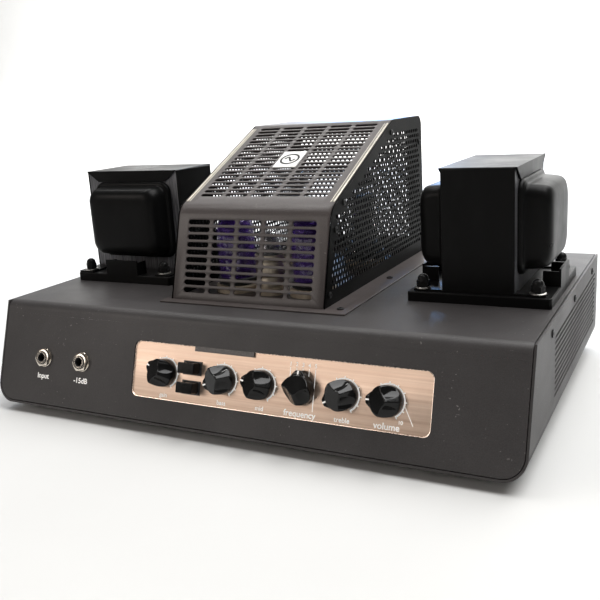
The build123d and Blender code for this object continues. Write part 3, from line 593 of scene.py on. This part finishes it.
def dial_ring(bm):
    """Printed ring with eleven tick marks round a knob, open at the bottom."""
    thin, gap, count, ticks = 1.0 * MM, math.radians(62.0), 72, 11
    start, sweep = math.radians(270) + gap / 2, 2 * math.pi - gap
    for i in range(count):
        quad = []
        for radius, k in ((DIAL_R - thin, i), (DIAL_R, i), (DIAL_R, i + 1), (DIAL_R - thin, i + 1)):
            turn = start + sweep * k / count
            quad.append(bm.verts.new((radius * math.cos(turn), radius * math.sin(turn), 0)))
        bm.faces.new(quad)
    for i in range(ticks):
        bar(bm, start + sweep * i / (ticks - 1), DIAL_R - thin, DIAL_R + 0.95 * MM, 0.75 * MM)


def bar(bm, turn, r0, r1, width):
    """Flat radial bar in local x and y."""
    along = Vector((math.cos(turn), math.sin(turn), 0))
    side = Vector((-along.y, along.x, 0)) * width / 2
    bm.faces.new([bm.verts.new(p) for p in (along * r0 - side, along * r1 - side, along * r1 + side,
                                            along * r0 + side)])


def solidify(mesh, height=PRINT_T):
    """Gives a flat print its height."""
    def lift(bm):
        weld(bm)
        top = bmesh.ops.extrude_face_region(bm, geom=bm.faces[:])
        for item in top["geom"]:
            if isinstance(item, bmesh.types.BMVert):
                item.co.z += height
    return reshape(mesh, lift)


def lettering(text, size):
    """Plain raised print, centred on its local origin; its size is in millimetres."""
    curve = bpy.data.curves.new("print", "FONT")
    curve.body = text
    curve.size = size * MM
    curve.align_x = "CENTER"
    curve.align_y = "CENTER"
    curve.extrude = 0.03 * MM
    curve.offset = 0.018 * curve.size
    return curve_mesh(curve)


def put_print(name, mesh, x, slope, out=PRINT_T - PLATE_RECESS, slot="copper_plate"):
    """Places a white print, by default on the face of the control plate."""
    finish_piece(name, mesh, slot, front_matrix(x, slope, out), False, PRINT)


def build_prints():
    """Dial rings, scale figures and plain function words on the control plate and front."""
    at = {name: JOINTS[name + "_turn"]["pos_m"][0] for name in KNOBS}
    leader = mesh_from(lambda bm: bm.faces.new([bm.verts.new((a * MM, b * MM, 0)) for a, b in LEADER]))
    flat = [(name + "_dial_print", mesh_from(dial_ring), at[name]) for name in KNOBS if name != "frequency"]
    flat += [("selector_lead_print", mesh_from(selector_leads), at["frequency"]),
             ("volume_leader_print", leader, at["volume"])]
    for name, mesh, x in flat:
        put_print(name, solidify(mesh), x, ROW_SLOPE, -PLATE_RECESS)
    for i in range(5):
        put_print(f"selector_figure_{i + 1}", lettering(str(i + 1), 3.7),
                  at["frequency"] + (i - 2) * FIGURE_PITCH, FIGURE_SLOPE)
    words = {"gain": ("gain", 4.2), "bass": ("bass", 4.2), "middle": ("mid", 4.2),
             "frequency": ("frequency", 5.7), "treble": ("treble", 4.4), "volume": ("volume", 5.7)}
    for name, (word, size) in words.items():
        put_print(name + "_word_print", lettering(word, size), at[name], WORD_SLOPE)
    put_print("volume_scale_end", lettering("10", 3.2), at["volume"] + 8.6 * MM, 53.2 * MM)
    for index, (x, word) in enumerate(zip(JACK_X, ("Input", "-15dB"))):
        put_print(f"input_word_{index + 1}", lettering(word, 5.5), x, 55.0 * MM, 0.03 * MM, "chassis_coat")


def build_window_rim():
    """Bright cut edge round the control plate."""
    x0, x1, s0, s1 = (value * MM for value in WINDOW)
    half_a, half_b = (x1 - x0) / 2, (s1 - s0) / 2

    def rim(bm):
        profile = [(0.05, 0.0), (0.05, 0.35), (0.3, 0.55), (0.6, 0.5), (0.75, 0.1)]
        loops = []
        for inset, height in profile:
            rect = rounded_rect(half_a - inset * MM, half_b - inset * MM, 4.9 * MM)
            loops.append([Vector((a, b, height * MM)) for a, b in rect])
        skin(bm, loops, False)
    place = front_matrix((x0 + x1) / 2, (s0 + s1) / 2, -PLATE_RECESS)
    finish_piece("control_plate_rim", mesh_from(rim), "copper_plate", place, mat=RIM)


def selector_leads(bm):
    """Thin lead lines from the selector's figures down to its dial; the last one runs past it."""
    top, half = 13.6 * MM, 0.27 * MM
    for i, low in enumerate((5.5, 8.8, 8.8, 8.8, -13.0)):
        x = (i - 2) * FIGURE_PITCH
        corners = ((x - half, low * MM), (x + half, low * MM), (x + half, top), (x - half, top))
        bm.faces.new([bm.verts.new((a, b, 0)) for a, b in corners])


# ---- valve cage
def cage_profile():
    """Outer profile of the cage as (y, z) points, front foot to back foot, and its first bend's tangent."""
    low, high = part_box("cage_left_side")
    shoulder = low.z + CAGE_FRONT
    ends = [Vector((low.y, low.z)), Vector((low.y + CAGE_FRONT * math.tan(CAGE_LEAN), shoulder)),
            Vector((high.y - CAGE_TOP, high.z)), Vector((high.y, high.z)), Vector((high.y, low.z))]
    points, tangents = [ends[0]], []
    for before, at, after, radius in zip(ends, ends[1:], ends[2:], CAGE_BENDS):
        a, b = (before - at).normalized(), (after - at).normalized()
        half = a.angle(b) / 2
        tangents.append(radius / math.tan(half))
        centre = at + (a + b).normalized() * radius / math.sin(half)
        first, last = at + a * tangents[-1] - centre, at + b * tangents[-1] - centre
        turn = first.angle_signed(last)
        points += [centre + Matrix.Rotation(-turn * k / BEND_STEPS, 2) @ first for k in range(BEND_STEPS + 1)]
    return points + [ends[-1]], tangents[0]


PROFILE, FIRST_TANGENT = cage_profile()
SLOPE_START, SLOPE_STOP = PROFILE[BEND_STEPS + 1], PROFILE[BEND_STEPS + 2]


def profile_lengths():
    """Distance along the profile of each of its points."""
    total, lengths = 0.0, [0.0]
    for a, b in zip(PROFILE, PROFILE[1:]):
        total += (b - a).length
        lengths.append(total)
    return lengths


LENGTHS = profile_lengths()


def at_length(s):
    """Point and outward normal of the profile at distance s."""
    index = 0
    while index < len(LENGTHS) - 2 and LENGTHS[index + 1] < s:
        index += 1
    a, b = PROFILE[index], PROFILE[index + 1]
    t = (s - LENGTHS[index]) / max(1e-9, LENGTHS[index + 1] - LENGTHS[index])
    direction = (b - a).normalized()
    return a + (b - a) * t, Vector((-direction.y, direction.x))


def cage_holes():
    """Slots of the front and slope and the perforations of the rear, in unrolled coordinates."""
    first_row = LENGTHS[1] + FIRST_TANGENT - 10.5 * MM
    rows = [first_row - FRONT_PITCH * row for row in range(FRONT_SLOTS)]
    first_row = LENGTHS[BEND_STEPS + 1] - FIRST_TANGENT + 17.7 * MM
    rows += [first_row + SLOPE_PITCH * row for row in range(SLOPE_SLOTS)]
    holes = [slot_points(SLOT_X + SLOT_PITCH * i, s) for s in rows for i in range(SLOT_COLUMNS)]
    low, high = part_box("cage_shell")
    half, centre = (high.x - low.x) / 2 - 8 * MM, (high.x + low.x) / 2
    row_pitch = PERF_PITCH * 0.866
    for row in range(int((LENGTHS[-1] - LENGTHS[-2] - 14 * MM) / row_pitch)):
        start = centre - half + (PERF_PITCH / 2 if row % 2 else 0.0)
        for k in range(int(2 * half / PERF_PITCH)):
            holes.append(hole_points(start + PERF_PITCH * (k + 0.25), LENGTHS[-2] + 6 * MM + row * row_pitch))
    return holes


def build_cage():
    """Bent sheet: a flat sheet with its holes, cut at every bend line and laid on the profile."""
    low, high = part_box("cage_shell")
    outline = [(low.x, 0.0), (high.x, 0.0), (high.x, LENGTHS[-1]), (low.x, LENGTHS[-1])]

    def bend(bm):
        for s in LENGTHS[1:-1]:
            geometry = bm.verts[:] + bm.edges[:] + bm.faces[:]
            bmesh.ops.bisect_plane(bm, geom=geometry, plane_co=(0, s, 0), plane_no=(0, 1, 0), dist=1e-7)
        for vert in bm.verts:
            place, normal = at_length(vert.co.y)
            out = vert.co.z - CAGE_T / 2
            vert.co = Vector((vert.co.x, place.x + normal.x * out, place.y + normal.y * out))
    sheet = reshape(sheet_with_holes(outline, cage_holes(), CAGE_T, 0.15 * MM), bend)
    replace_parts(finish_piece("cage_bent_sheet", sheet, "cage_coat", angle=40), "cage_shell")
    for side in ("left", "right"):
        build_cage_side(side)


def inside(place, margin):
    """True if a (y, z) point lies inside the profile by more than the margin."""
    for a, b in zip(PROFILE, PROFILE[1:] + PROFILE[:1]):
        edge = b - a
        normal = Vector((edge.y, -edge.x)).normalized()
        if edge.length > 1e-9 and (place - a).dot(normal) < margin:
            return False
    return True


# screws of a side panel, in mm: from its back edge, above the chassis
SIDE_SCREWS = [(71.7, 108.5), (167.2, 67.5), (182.7, 51.0), (197.7, 8.8), (6.2, 96.0)]


def build_cage_side(side):
    """Perforated side panel with staggered holes that follow its outline and leave its screws free."""
    node = f"cage_{side}_side"
    low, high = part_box(node)
    screws = [Vector((high.y - back * MM, low.z - CAGE_T + h * MM)) for back, h in SIDE_SCREWS]
    holes = []
    row_pitch = PERF_PITCH * 0.95
    for row in range(int((high.z - low.z) / row_pitch)):
        for k in range(int((high.y - low.y) / PERF_PITCH)):
            place = Vector((low.y + (k + (0.5 if row % 2 else 0.0)) * PERF_PITCH,
                            low.z + 7 * MM + row * row_pitch))
            if inside(place, 8 * MM) and all((place - screw).length >= 5 * MM for screw in screws):
                holes.append(hole_points(*place))
    sheet = sheet_with_holes([tuple(p) for p in PROFILE], holes, PERF_T, 0.1 * MM)
    outer = high.x - PERF_T / 2 if side == "right" else low.x + PERF_T / 2
    place = Matrix(((0, 0, 1, outer), (1, 0, 0, 0), (0, 1, 0, 0), (0, 0, 0, 1)))
    panel = finish_piece(f"cage_{side}_perforated", sheet, "cage_side_coat", place, False)
    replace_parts(panel, node)


def slope_strip(name, x0, x1, height):
    """Rounded strip of bright metal lying along the cage's slope, between x0 and x1: a painted highlight along the
    fold.
    """
    direction = (SLOPE_STOP - SLOPE_START).normalized()
    normal = Vector((-direction.y, direction.x))
    start, stop = SLOPE_START + direction * 2 * MM, SLOPE_STOP - direction * 4 * MM
    length = (stop - start).length
    middle, half = (x0 + x1) / 2, (x1 - x0) / 2
    stations = [(0.0, 0.55), (0.6 * MM, 0.85), (1.5 * MM, 1.0)]
    stations += [(length - s, size) for s, size in reversed(stations)]
    loops = []
    for s, size in stations:
        at = start + direction * s
        ring = circle_points(0, 0, size, 16)
        loops.append([Vector((middle + x * half, *(at + normal * z * height))) for x, z in ring])
    finish_piece(name, mesh_from(lambda bm: skin(bm, loops)), "cage_coat", mat=FOLD_HIGHLIGHT)


def build_cage_trim():
    """Folded lips and hems along the slope's edges."""
    low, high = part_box("cage_shell")
    for name, x, hand in (("left", low.x, 1), ("right", high.x, -1)):
        # the lips and hems are painted highlights along the folds
        slope_strip(f"cage_{name}_lip", *sorted((x + hand * 0.1 * MM, x + hand * 2.3 * MM)), 0.75 * MM)
        slope_strip(f"cage_{name}_hem", *sorted((x + hand * 2.9 * MM, x + hand * 3.9 * MM)), 0.4 * MM)


def build_badge():
    """Plain badge: pale plate with a dark ring round a single sine wave."""
    low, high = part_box("cage_badge")
    direction = (SLOPE_STOP - SLOPE_START).normalized()
    up = Vector((0, direction.x, direction.y))
    normal = Vector((0, -direction.y, direction.x))
    place = flat_matrix((low + high) / 2 + normal * 0.5 * MM, RIGHT, up)
    ring = sheet_with_holes(circle_points(0, 0, 7.9 * MM, 64), [circle_points(0, 0, 6.3 * MM, 64)], 0.12 * MM)
    raised = place @ Matrix.Translation((0, 0, 0.04 * MM))
    finish_piece("badge_ring", ring, "badge", raised, False, BADGE_DARK)

    def wave(bm):
        steps, wide, tall, half = 48, 8.6 * MM, 2.9 * MM, 0.75 * MM
        rows = []
        for i in range(steps + 1):
            t = i / steps
            turn = 2 * math.pi * t
            side = Vector((-math.cos(turn) * tall * 2 * math.pi / wide, 1.0, 0.0)).normalized() * half
            at = Vector(((t - 0.5) * wide, math.sin(turn) * tall, 0.0))
            rows.append((bm.verts.new(at - side), bm.verts.new(at + side)))
        for a, b in zip(rows, rows[1:]):
            bm.faces.new((a[0], b[0], b[1], a[1]))
    mark = solidify(mesh_from(wave), 0.1 * MM)
    finish_piece("badge_wave", mark, "badge", place, False, BADGE_DARK)


# ---- valves
def bulb_profile(radius, height, wall):
    """Closed profile of a glass bulb standing on z = 0, outside up and inside down."""
    shoulder = radius * 1.15
    outer = [(radius * 0.86, 0.0), (radius * 0.98, 2 * MM), (radius, 6 * MM), (radius, height - shoulder)]
    outer += crown_points(radius, height - shoulder, radius * 0.22, height - 2.2 * MM, 12)
    outer += [(radius * 0.14, height - 0.8 * MM), (radius * 0.05, height)]
    inner = [(max(0.2 * MM, r - wall), min(z, height - wall - 1.5 * MM)) for r, z in reversed(outer)]
    return outer + inner


def build_valve(name, box, index, slot, sunk):
    """Glass bulb, getter flash, anode with cooling ribs, mica discs and support rods."""
    cx, cy, radius, low, high = box
    low -= sunk
    seat = Matrix.Translation((cx, cy, low))
    height = high - low
    glass = mesh_from(lambda bm: lathe(bm, bulb_profile(radius, height, 0.9 * MM)))
    bulb = finish_piece(f"{name}_bulb_{index}", glass, slot, seat, angle=50)
    flash = [(0.02 * MM, 3.4 * MM), (radius * 0.35, 4.4 * MM), (radius * 0.62, 8.0 * MM),
             (radius * 0.80, 15.0 * MM), (radius * 0.78, 15.2 * MM), (radius * 0.58, 8.6 * MM),
             (radius * 0.32, 5.0 * MM), (0.02 * MM, 4.0 * MM)]
    getter = mesh_from(lambda bm: lathe(bm, [(r, height - down) for r, down in flash], 40))
    finish_piece(f"{name}_getter_{index}", getter, slot, seat, mat=GETTER)

    def inner(bm):
        start, anode = height * 0.16, height * 0.5
        half_plate = rounded_rect(radius * 0.46, radius * 0.22, radius * 0.2, 5)
        for side in (-1, 1):
            prism(bm, [(a, b + side * radius * 0.12) for a, b in half_plate], start, start + anode)
        for level in (start - 1.2 * MM, start + anode + 0.6 * MM):
            lathe(bm, [(radius * 0.74, level), (radius * 0.74, level + 0.5 * MM)], 24)
        for x, y in circle_points(0, 0, radius * 0.6, 4, math.pi / 4):
            rod = [(0.4 * MM, 1.0 * MM), (0.4 * MM, start + anode + 3 * MM)]
            lathe(bm, rod, 8, Matrix.Translation((x, y, 0)))
        rib = rounded_rect(radius * 0.50, radius * 0.40, radius * 0.25, 5)
        for k in range(5):
            level = start + anode * (k + 0.5) / 5
            prism(bm, rib, level - 0.3 * MM, level + 0.3 * MM)
    finish_piece(f"{name}_electrode_{index}", mesh_from(inner), "electrode", seat)
    return bulb


def solid_boxes(node):
    """Boxes (cx, cy, radius, low z, high z) of the round solids in a CAD node, by connected mesh islands."""
    bm = bmesh.new()
    bm.from_mesh(NODES[node].data)
    weld(bm)
    left = set(bm.verts)
    found = []
    while left:
        stack, group = [left.pop()], []
        while stack:
            vert = stack.pop()
            group.append(vert.co.copy())
            for edge in vert.link_edges:
                other = edge.other_vert(vert)
                if other in left:
                    left.remove(other)
                    stack.append(other)
        xs, ys, zs = [c.x for c in group], [c.y for c in group], [c.z for c in group]
        found.append(((min(xs) + max(xs)) / 2, (min(ys) + max(ys)) / 2, (max(xs) - min(xs)) / 2,
                      min(zs), max(zs)))
    bm.free()
    return merge_boxes(found)


def merge_boxes(found):
    """Joins islands that share a centre, such as the inside and outside of a hollow bulb."""
    merged = []
    for cx, cy, radius, low, high in sorted(found):
        for item in merged:
            if abs(item[0] - cx) < 2 * MM and abs(item[1] - cy) < 2 * MM:
                item[2], item[3], item[4] = max(item[2], radius), min(item[3], low), max(item[4], high)
                break
        else:
            merged.append([cx, cy, radius, low, high])
    return merged


def build_valves():
    for name, slot in (("driver_valve", "valve_glass"), ("power_valve", "clear_glass"),
                       ("preamp_valve", "clear_glass")):
        sunk = 0.0 if name == "preamp_valve" else BASE_CUT
        bulbs = [build_valve(name, item, index + 1, slot, sunk)
                 for index, item in enumerate(solid_boxes(name + "_glass"))]
        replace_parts(bulbs[0], name + "_glass")
        last = bulbs[0]
    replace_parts(last, "valve_electrodes")
    build_shield()
    build_bases()


def build_shield():
    """Dull plated valve shield with two grooves."""
    cx, cy, radius, low, high = solid_boxes("valve_shield")[0]
    wall = groove = 0.5 * MM
    steps = [(0.0, 0.0), (0.0, 0.24), (groove, 0.28), (groove, 0.34), (0.0, 0.38), (0.0, 0.70),
             (groove, 0.74), (groove, 0.80), (0.0, 0.84), (0.0, 0.94), (0.1 * MM, 1.0)]
    outer = [(radius - inset, part * (high - low)) for inset, part in steps]
    profile = outer + [(r - wall, z) for r, z in reversed(outer)]
    can = mesh_from(lambda bm: lathe(bm, profile, ring=True))
    piece = finish_piece("valve_shield_can", can, "shield_can", Matrix.Translation((cx, cy, low)))
    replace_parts(piece, "valve_shield")


def build_bases():
    """Moulded valve bases with a waist and a moulded rim."""
    pieces = []
    for index, (cx, cy, radius, _, high) in enumerate(solid_boxes("valve_bases")):
        low, height = high - 12 * MM, 12 * MM - BASE_CUT
        profile = [(radius * 0.90, 0.0), (radius * 0.97, 0.6 * MM), (radius * 0.97, 1.6 * MM),
                   (radius * 0.93, 2.0 * MM), (radius * 0.93, 2.6 * MM), (radius, 3.2 * MM),
                   (radius, height - 0.6 * MM), (radius - 0.6 * MM, height),
                   (radius - 1.6 * MM, height), (radius - 1.6 * MM, 1.5 * MM)]
        base = mesh_from(lambda bm: lathe(bm, profile))
        pieces.append(finish_piece(f"valve_base_{index + 1}", base, "black_plastic",
                                   Matrix.Translation((cx, cy, low))))
    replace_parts(pieces[0], "valve_bases")


# ---- transformers
def bell_mesh(half_y, z_low, z_high):
    """Drawn end bell along local +X: flat collar, step, and a crowned dome with soft edges."""
    mid, half_z = (z_low + z_high) / 2, (z_high - z_low) / 2
    levels = [(0.0, 0.0, 9.0), (1.2, 0.0, 9.0), (2.4, 0.3, 9.0), (3.1, 1.0, 8.6), (3.5, 2.0, 8.4),
              (3.7, 2.7, 8.2), (4.3, 3.2, 8.0), (6.0, 3.4, 8.0), (10.0, 3.7, 8.2), (14.0, 4.2, 8.6),
              (16.2, 4.8, 9.0), (17.8, 5.7, 9.4), (19.0, 7.0, 9.6), (19.9, 8.8, 9.4), (20.45, 10.8, 9.0),
              (20.7, 13.0, 8.0), (20.85, 18.0, 6.0), (20.95, 24.0, 3.5)]    # mm: out, inset, corner radius
    loops = []
    for out, inset, radius in levels:
        rect = rounded_rect(half_y - inset * MM, half_z - inset * MM, radius * MM, 10)
        loops.append([Vector((out * MM, a, mid + b)) for a, b in rect])
    return mesh_from(lambda bm: skin(bm, loops))


def build_bells():
    for name, turns in (("power_transformer", (0, 180)), ("output_transformer", (90, 270))):
        low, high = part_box(name + "_bells")
        centre, size = (low + high) / 2, high - low
        along, across = (size.x, size.y) if turns[0] == 0 else (size.y, size.x)
        pieces = []
        for index, turn in enumerate(turns):
            place = (Matrix.Translation((centre.x, centre.y, 0)) @ Matrix.Rotation(math.radians(turn), 4, "Z")
                     @ Matrix.Translation((along / 2 - BELL_DEPTH, 0, 0)))
            pieces.append(finish_piece(f"{name}_bell_{index + 1}", bell_mesh(across / 2, low.z, high.z),
                                       "transformer_black", place, angle=50))
        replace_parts(pieces[0], name + "_bells")


def acorn_nut(bm, across, height):
    """Domed nut with a chamfered hexagon, standing on a washer 1 mm thick."""
    low, crown, dome_r = 1.0 * MM, (1.0 + 0.8) * MM + height, across / 2 * 0.93
    hex_body(bm, across, low, low + height)
    dome = [(dome_r, crown - 1.1 * MM), (dome_r, crown)]
    for k in range(1, 9):
        turn = math.pi / 2 * k / 8
        dome.append((max(0.05 * MM, dome_r * math.cos(turn)), crown + 3.4 * MM * math.sin(turn)))
    lathe(bm, dome, 40)


def hex_body(bm, across, low, high, bore=0.0, first_turn=0.0):
    """Hexagon with conical chamfers at both ends and an optional bore."""
    flat, count = across / 2, 72
    rim, slope = flat * 0.97, math.tan(math.radians(28))
    turns = [2 * math.pi * i / count for i in range(count)]
    hexagon = [flat / math.cos(turn % (math.pi / 3) - math.pi / 6) for turn in turns]

    def ring(radii, height, chamfer=0.0):
        return [Vector((r * math.cos(turn + first_turn), r * math.sin(turn + first_turn),
                        height + (r - rim) * chamfer)) for r, turn in zip(radii, turns)]
    loops = [ring([rim] * count, low), ring(hexagon, low, slope), ring(hexagon, high, -slope),
             ring([rim] * count, high)]
    if bore:
        loops += [ring([bore] * count, high), ring([bore] * count, low), loops[0]]
    skin(bm, loops, not bore)
    if bore:
        weld(bm, 1e-7)


def build_studs():
    """Acorn nuts and washers on the transformer studs, each turned a little differently."""
    rng = random.Random(7)
    pieces = []
    for index, (cx, cy, _, low, high) in enumerate(solid_boxes("transformer_studs")):
        seat = high - 9.9 * MM

        def nut(bm):
            acorn_nut(bm, 8.0 * MM, 4.6 * MM)
            lathe(bm, [(2.3 * MM, low - seat), (2.3 * MM, 0.5 * MM)], 20)
        place = Matrix.Translation((cx, cy, seat)) @ Matrix.Rotation(rng.uniform(0, 1), 4, "Z")
        pieces.append(finish_piece(f"acorn_nut_{index + 1}", mesh_from(nut), "transformer_black", place,
                                   angle=30, mat=ACORN))
        rounds = [(5.1 * MM, 0.0), (5.4 * MM, 0.2 * MM), (5.4 * MM, 0.8 * MM), (5.1 * MM, 1.0 * MM)]
        washer = mesh_from(lambda bm: lathe(bm, rounds, 40))
        finish_piece(f"stud_washer_{index + 1}", washer, "transformer_black", place, mat=WASHER)
    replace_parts(pieces[0], "transformer_studs")


# ---- jacks
def jack_frames():
    """Frames of the six jacks, local z out of the panel, from the record's mounts."""
    frames = []
    for mount in frame["record"]["mounts"]:
        if mount["kind"] != "bore":
            continue
        axis = Vector(mount["axis"]).normalized()
        up = UP_SLOPE if axis.y < 0 else Vector((0, 0, 1))
        right = up.cross(axis)
        face = Vector(mount["pos_m"]) + axis * 10.75 * MM
        frames.append((mount["name"], flat_matrix(face, right, up)))
    return frames


def build_jacks():
    """A nut with its washer and a threaded sleeve on each jack, each nut turned differently."""
    washer = [(7.0, 0.0), (7.0, 0.55), (6.7, 0.8), (4.9, 0.8), (4.9, 0.0)]
    thread = [(4.68, 0.2)]
    for k in range(9):
        thread += [(4.68, 0.3 + 0.4 * k), (4.5, 0.5 + 0.4 * k)]
    thread += [(4.5, 3.8), (4.2, 4.0), (3.5, 4.0), (3.3, 3.7), (3.3, -8.0), (4.4, -8.0), (4.4, 0.2)]
    pieces = []
    for index, (name, place) in enumerate(jack_frames()):
        def nut(bm):
            lathe(bm, [(r * MM, z * MM) for r, z in washer], ring=True)
            hex_body(bm, 12.4 * MM, 0.8 * MM, 3.3 * MM, 4.75 * MM, 0.2 + index)
        pieces.append(finish_piece(f"{name}_nut", mesh_from(nut), "nickel", place, angle=30))
        sleeve = mesh_from(lambda bm: lathe(bm, [(r * MM, z * MM) for r, z in thread], 40, ring=True))
        finish_piece(f"{name}_sleeve", sleeve, "nickel", place, angle=30)
    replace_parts(pieces[0], "jack_nuts")


# ---- CAD nodes that stay
def dress_cad_nodes():
    """Material for every CAD node, and softened sheet edges on the large ones."""
    slot_of = {entry["node"]: entry["material_slot"] for entry in frame["record"]["subparts"]}
    bevels = {"chassis_wrap": 0.3, "rear_panel": 0.25, "cage_base_plate": 0.3,
              "power_transformer_frame": 0.35, "output_transformer_frame": 0.35, "transformer_trays": 0.4,
              "indicator_window": 0.15, "cage_badge": 0.15, "mains_inlet": 0.25, "rocker_frames": 0.25,
              "power_rocker": 0.3, "standby_rocker": 0.3, "balanced_output": 0.2, "paddle_housings": 0.15}
    for name, obj in NODES.items():
        obj.data.materials.clear()
        obj.data.materials.append(MATERIALS[slot_of[name]])
        if name in bevels:
            merge = obj.modifiers.new("weld", "WELD")
            merge.merge_threshold = 1e-5
            bevel = obj.modifiers.new("soft_edges", "BEVEL")
            bevel.width = bevels[name] * MM
            bevel.segments = 2
            bevel.limit_method = "ANGLE"
            bevel.angle_limit = math.radians(40)
            bevel.harden_normals = True


# ---- stage
def build_stage():
    """Pale sweep, soft boxes and a dim world."""
    wide, flat, bend, wall = 6.0, 2.4, 1.2, 5.0

    def sweep(bm):
        path = [(-4.0, 0.0), (flat, 0.0)]
        for k in range(1, 13):
            turn = math.radians(90 * k / 12)
            path.append((flat + bend * math.sin(turn), bend - bend * math.cos(turn)))
        path.append((flat + bend, wall))
        rows = [[bm.verts.new((x, y, cad_low.z + z)) for x in (-wide, wide)] for y, z in path]
        for a, b in zip(rows, rows[1:]):
            bm.faces.new((a[0], a[1], b[1], b[0]))
    mesh = mesh_from(sweep)
    floor = bpy.data.objects.new("floor", mesh)
    bpy.context.scene.collection.objects.link(floor)
    mesh.materials.append(floor_paper())
    shade(mesh, 60)

    area_light("key_top", (0.75, 0.45, 2.2), (0.0, 0.1, 0.0), 2.2, 1.8, 82.0, (1.0, 1.0, 1.0))
    area_light("backdrop", (-0.8, 2.1, 2.7), (-1.3, 3.9, 0.8), 5.0, 1.0, 330.0, (1.0, 1.0, 1.0))
    area_light("front_left", (-1.7, -2.3, 1.2), (0.0, 0.0, 0.05), 1.6, 1.0, 19.5, (1.0, 0.92, 0.86))
    area_light("window_back", (-0.70, 1.9, 0.72), (0.17, 0.05, 0.12), 0.34, 0.22, 6.0, (0.16, 0.45, 1.0))
    area_light("bend_strip", (-1.0, 0.15, 2.2), (0.0, -0.05, 0.12), 1.5, 0.25, 16.0, (1.0, 0.99, 0.97))
    world = bpy.data.worlds.new("studio")
    bpy.context.scene.world = world
    world.use_nodes = True
    background = world.node_tree.nodes["Background"]
    background.inputs["Color"].default_value = (1.0, 0.97, 0.94, 1.0)
    background.inputs["Strength"].default_value = 0.13


def area_light(name, place, aim, wide, tall, power, color):
    data = bpy.data.lights.new(name, "AREA")
    data.shape = "RECTANGLE"
    data.size, data.size_y = wide, tall
    data.energy = power
    data.color = color
    light = bpy.data.objects.new(name, data)
    light.location = place
    light.rotation_euler = (Vector(aim) - Vector(place)).to_track_quat("-Z", "Y").to_euler()
    bpy.context.scene.collection.objects.link(light)


def build_camera():
    """Camera in front of the amplifier, to its right and a little above it."""
    eye = Vector((0.28295, ROW_ORIGIN.y - 0.40883, 0.22123))
    yaw, pitch, roll = math.radians(28.18), math.radians(14.51), math.radians(-3.73)
    look = Vector((-math.sin(yaw) * math.cos(pitch), math.cos(yaw) * math.cos(pitch), -math.sin(pitch)))
    level = Vector((math.cos(yaw), math.sin(yaw), 0.0))
    rise = level.cross(look)
    right = level * math.cos(roll) + rise * math.sin(roll)
    up = rise * math.cos(roll) - level * math.sin(roll)
    rows = Matrix((right, up, -look)).transposed().to_4x4()
    data = bpy.data.cameras.new("camera")
    data.sensor_width = 36.0
    data.lens = 47.085
    data.clip_start = 0.01
    camera = bpy.data.objects.new("camera", data)
    camera.matrix_world = Matrix.Translation(eye) @ rows
    bpy.context.scene.collection.objects.link(camera)
    bpy.context.scene.camera = camera
    bpy.context.scene.view_settings.view_transform = "Standard"


# ---- assemble
build_camera()
build_stage()
dress_cad_nodes()
build_knobs()
build_prints()
build_window_rim()
build_cage()
build_cage_trim()
build_badge()
build_valves()
build_bells()
build_studs()
build_jacks()
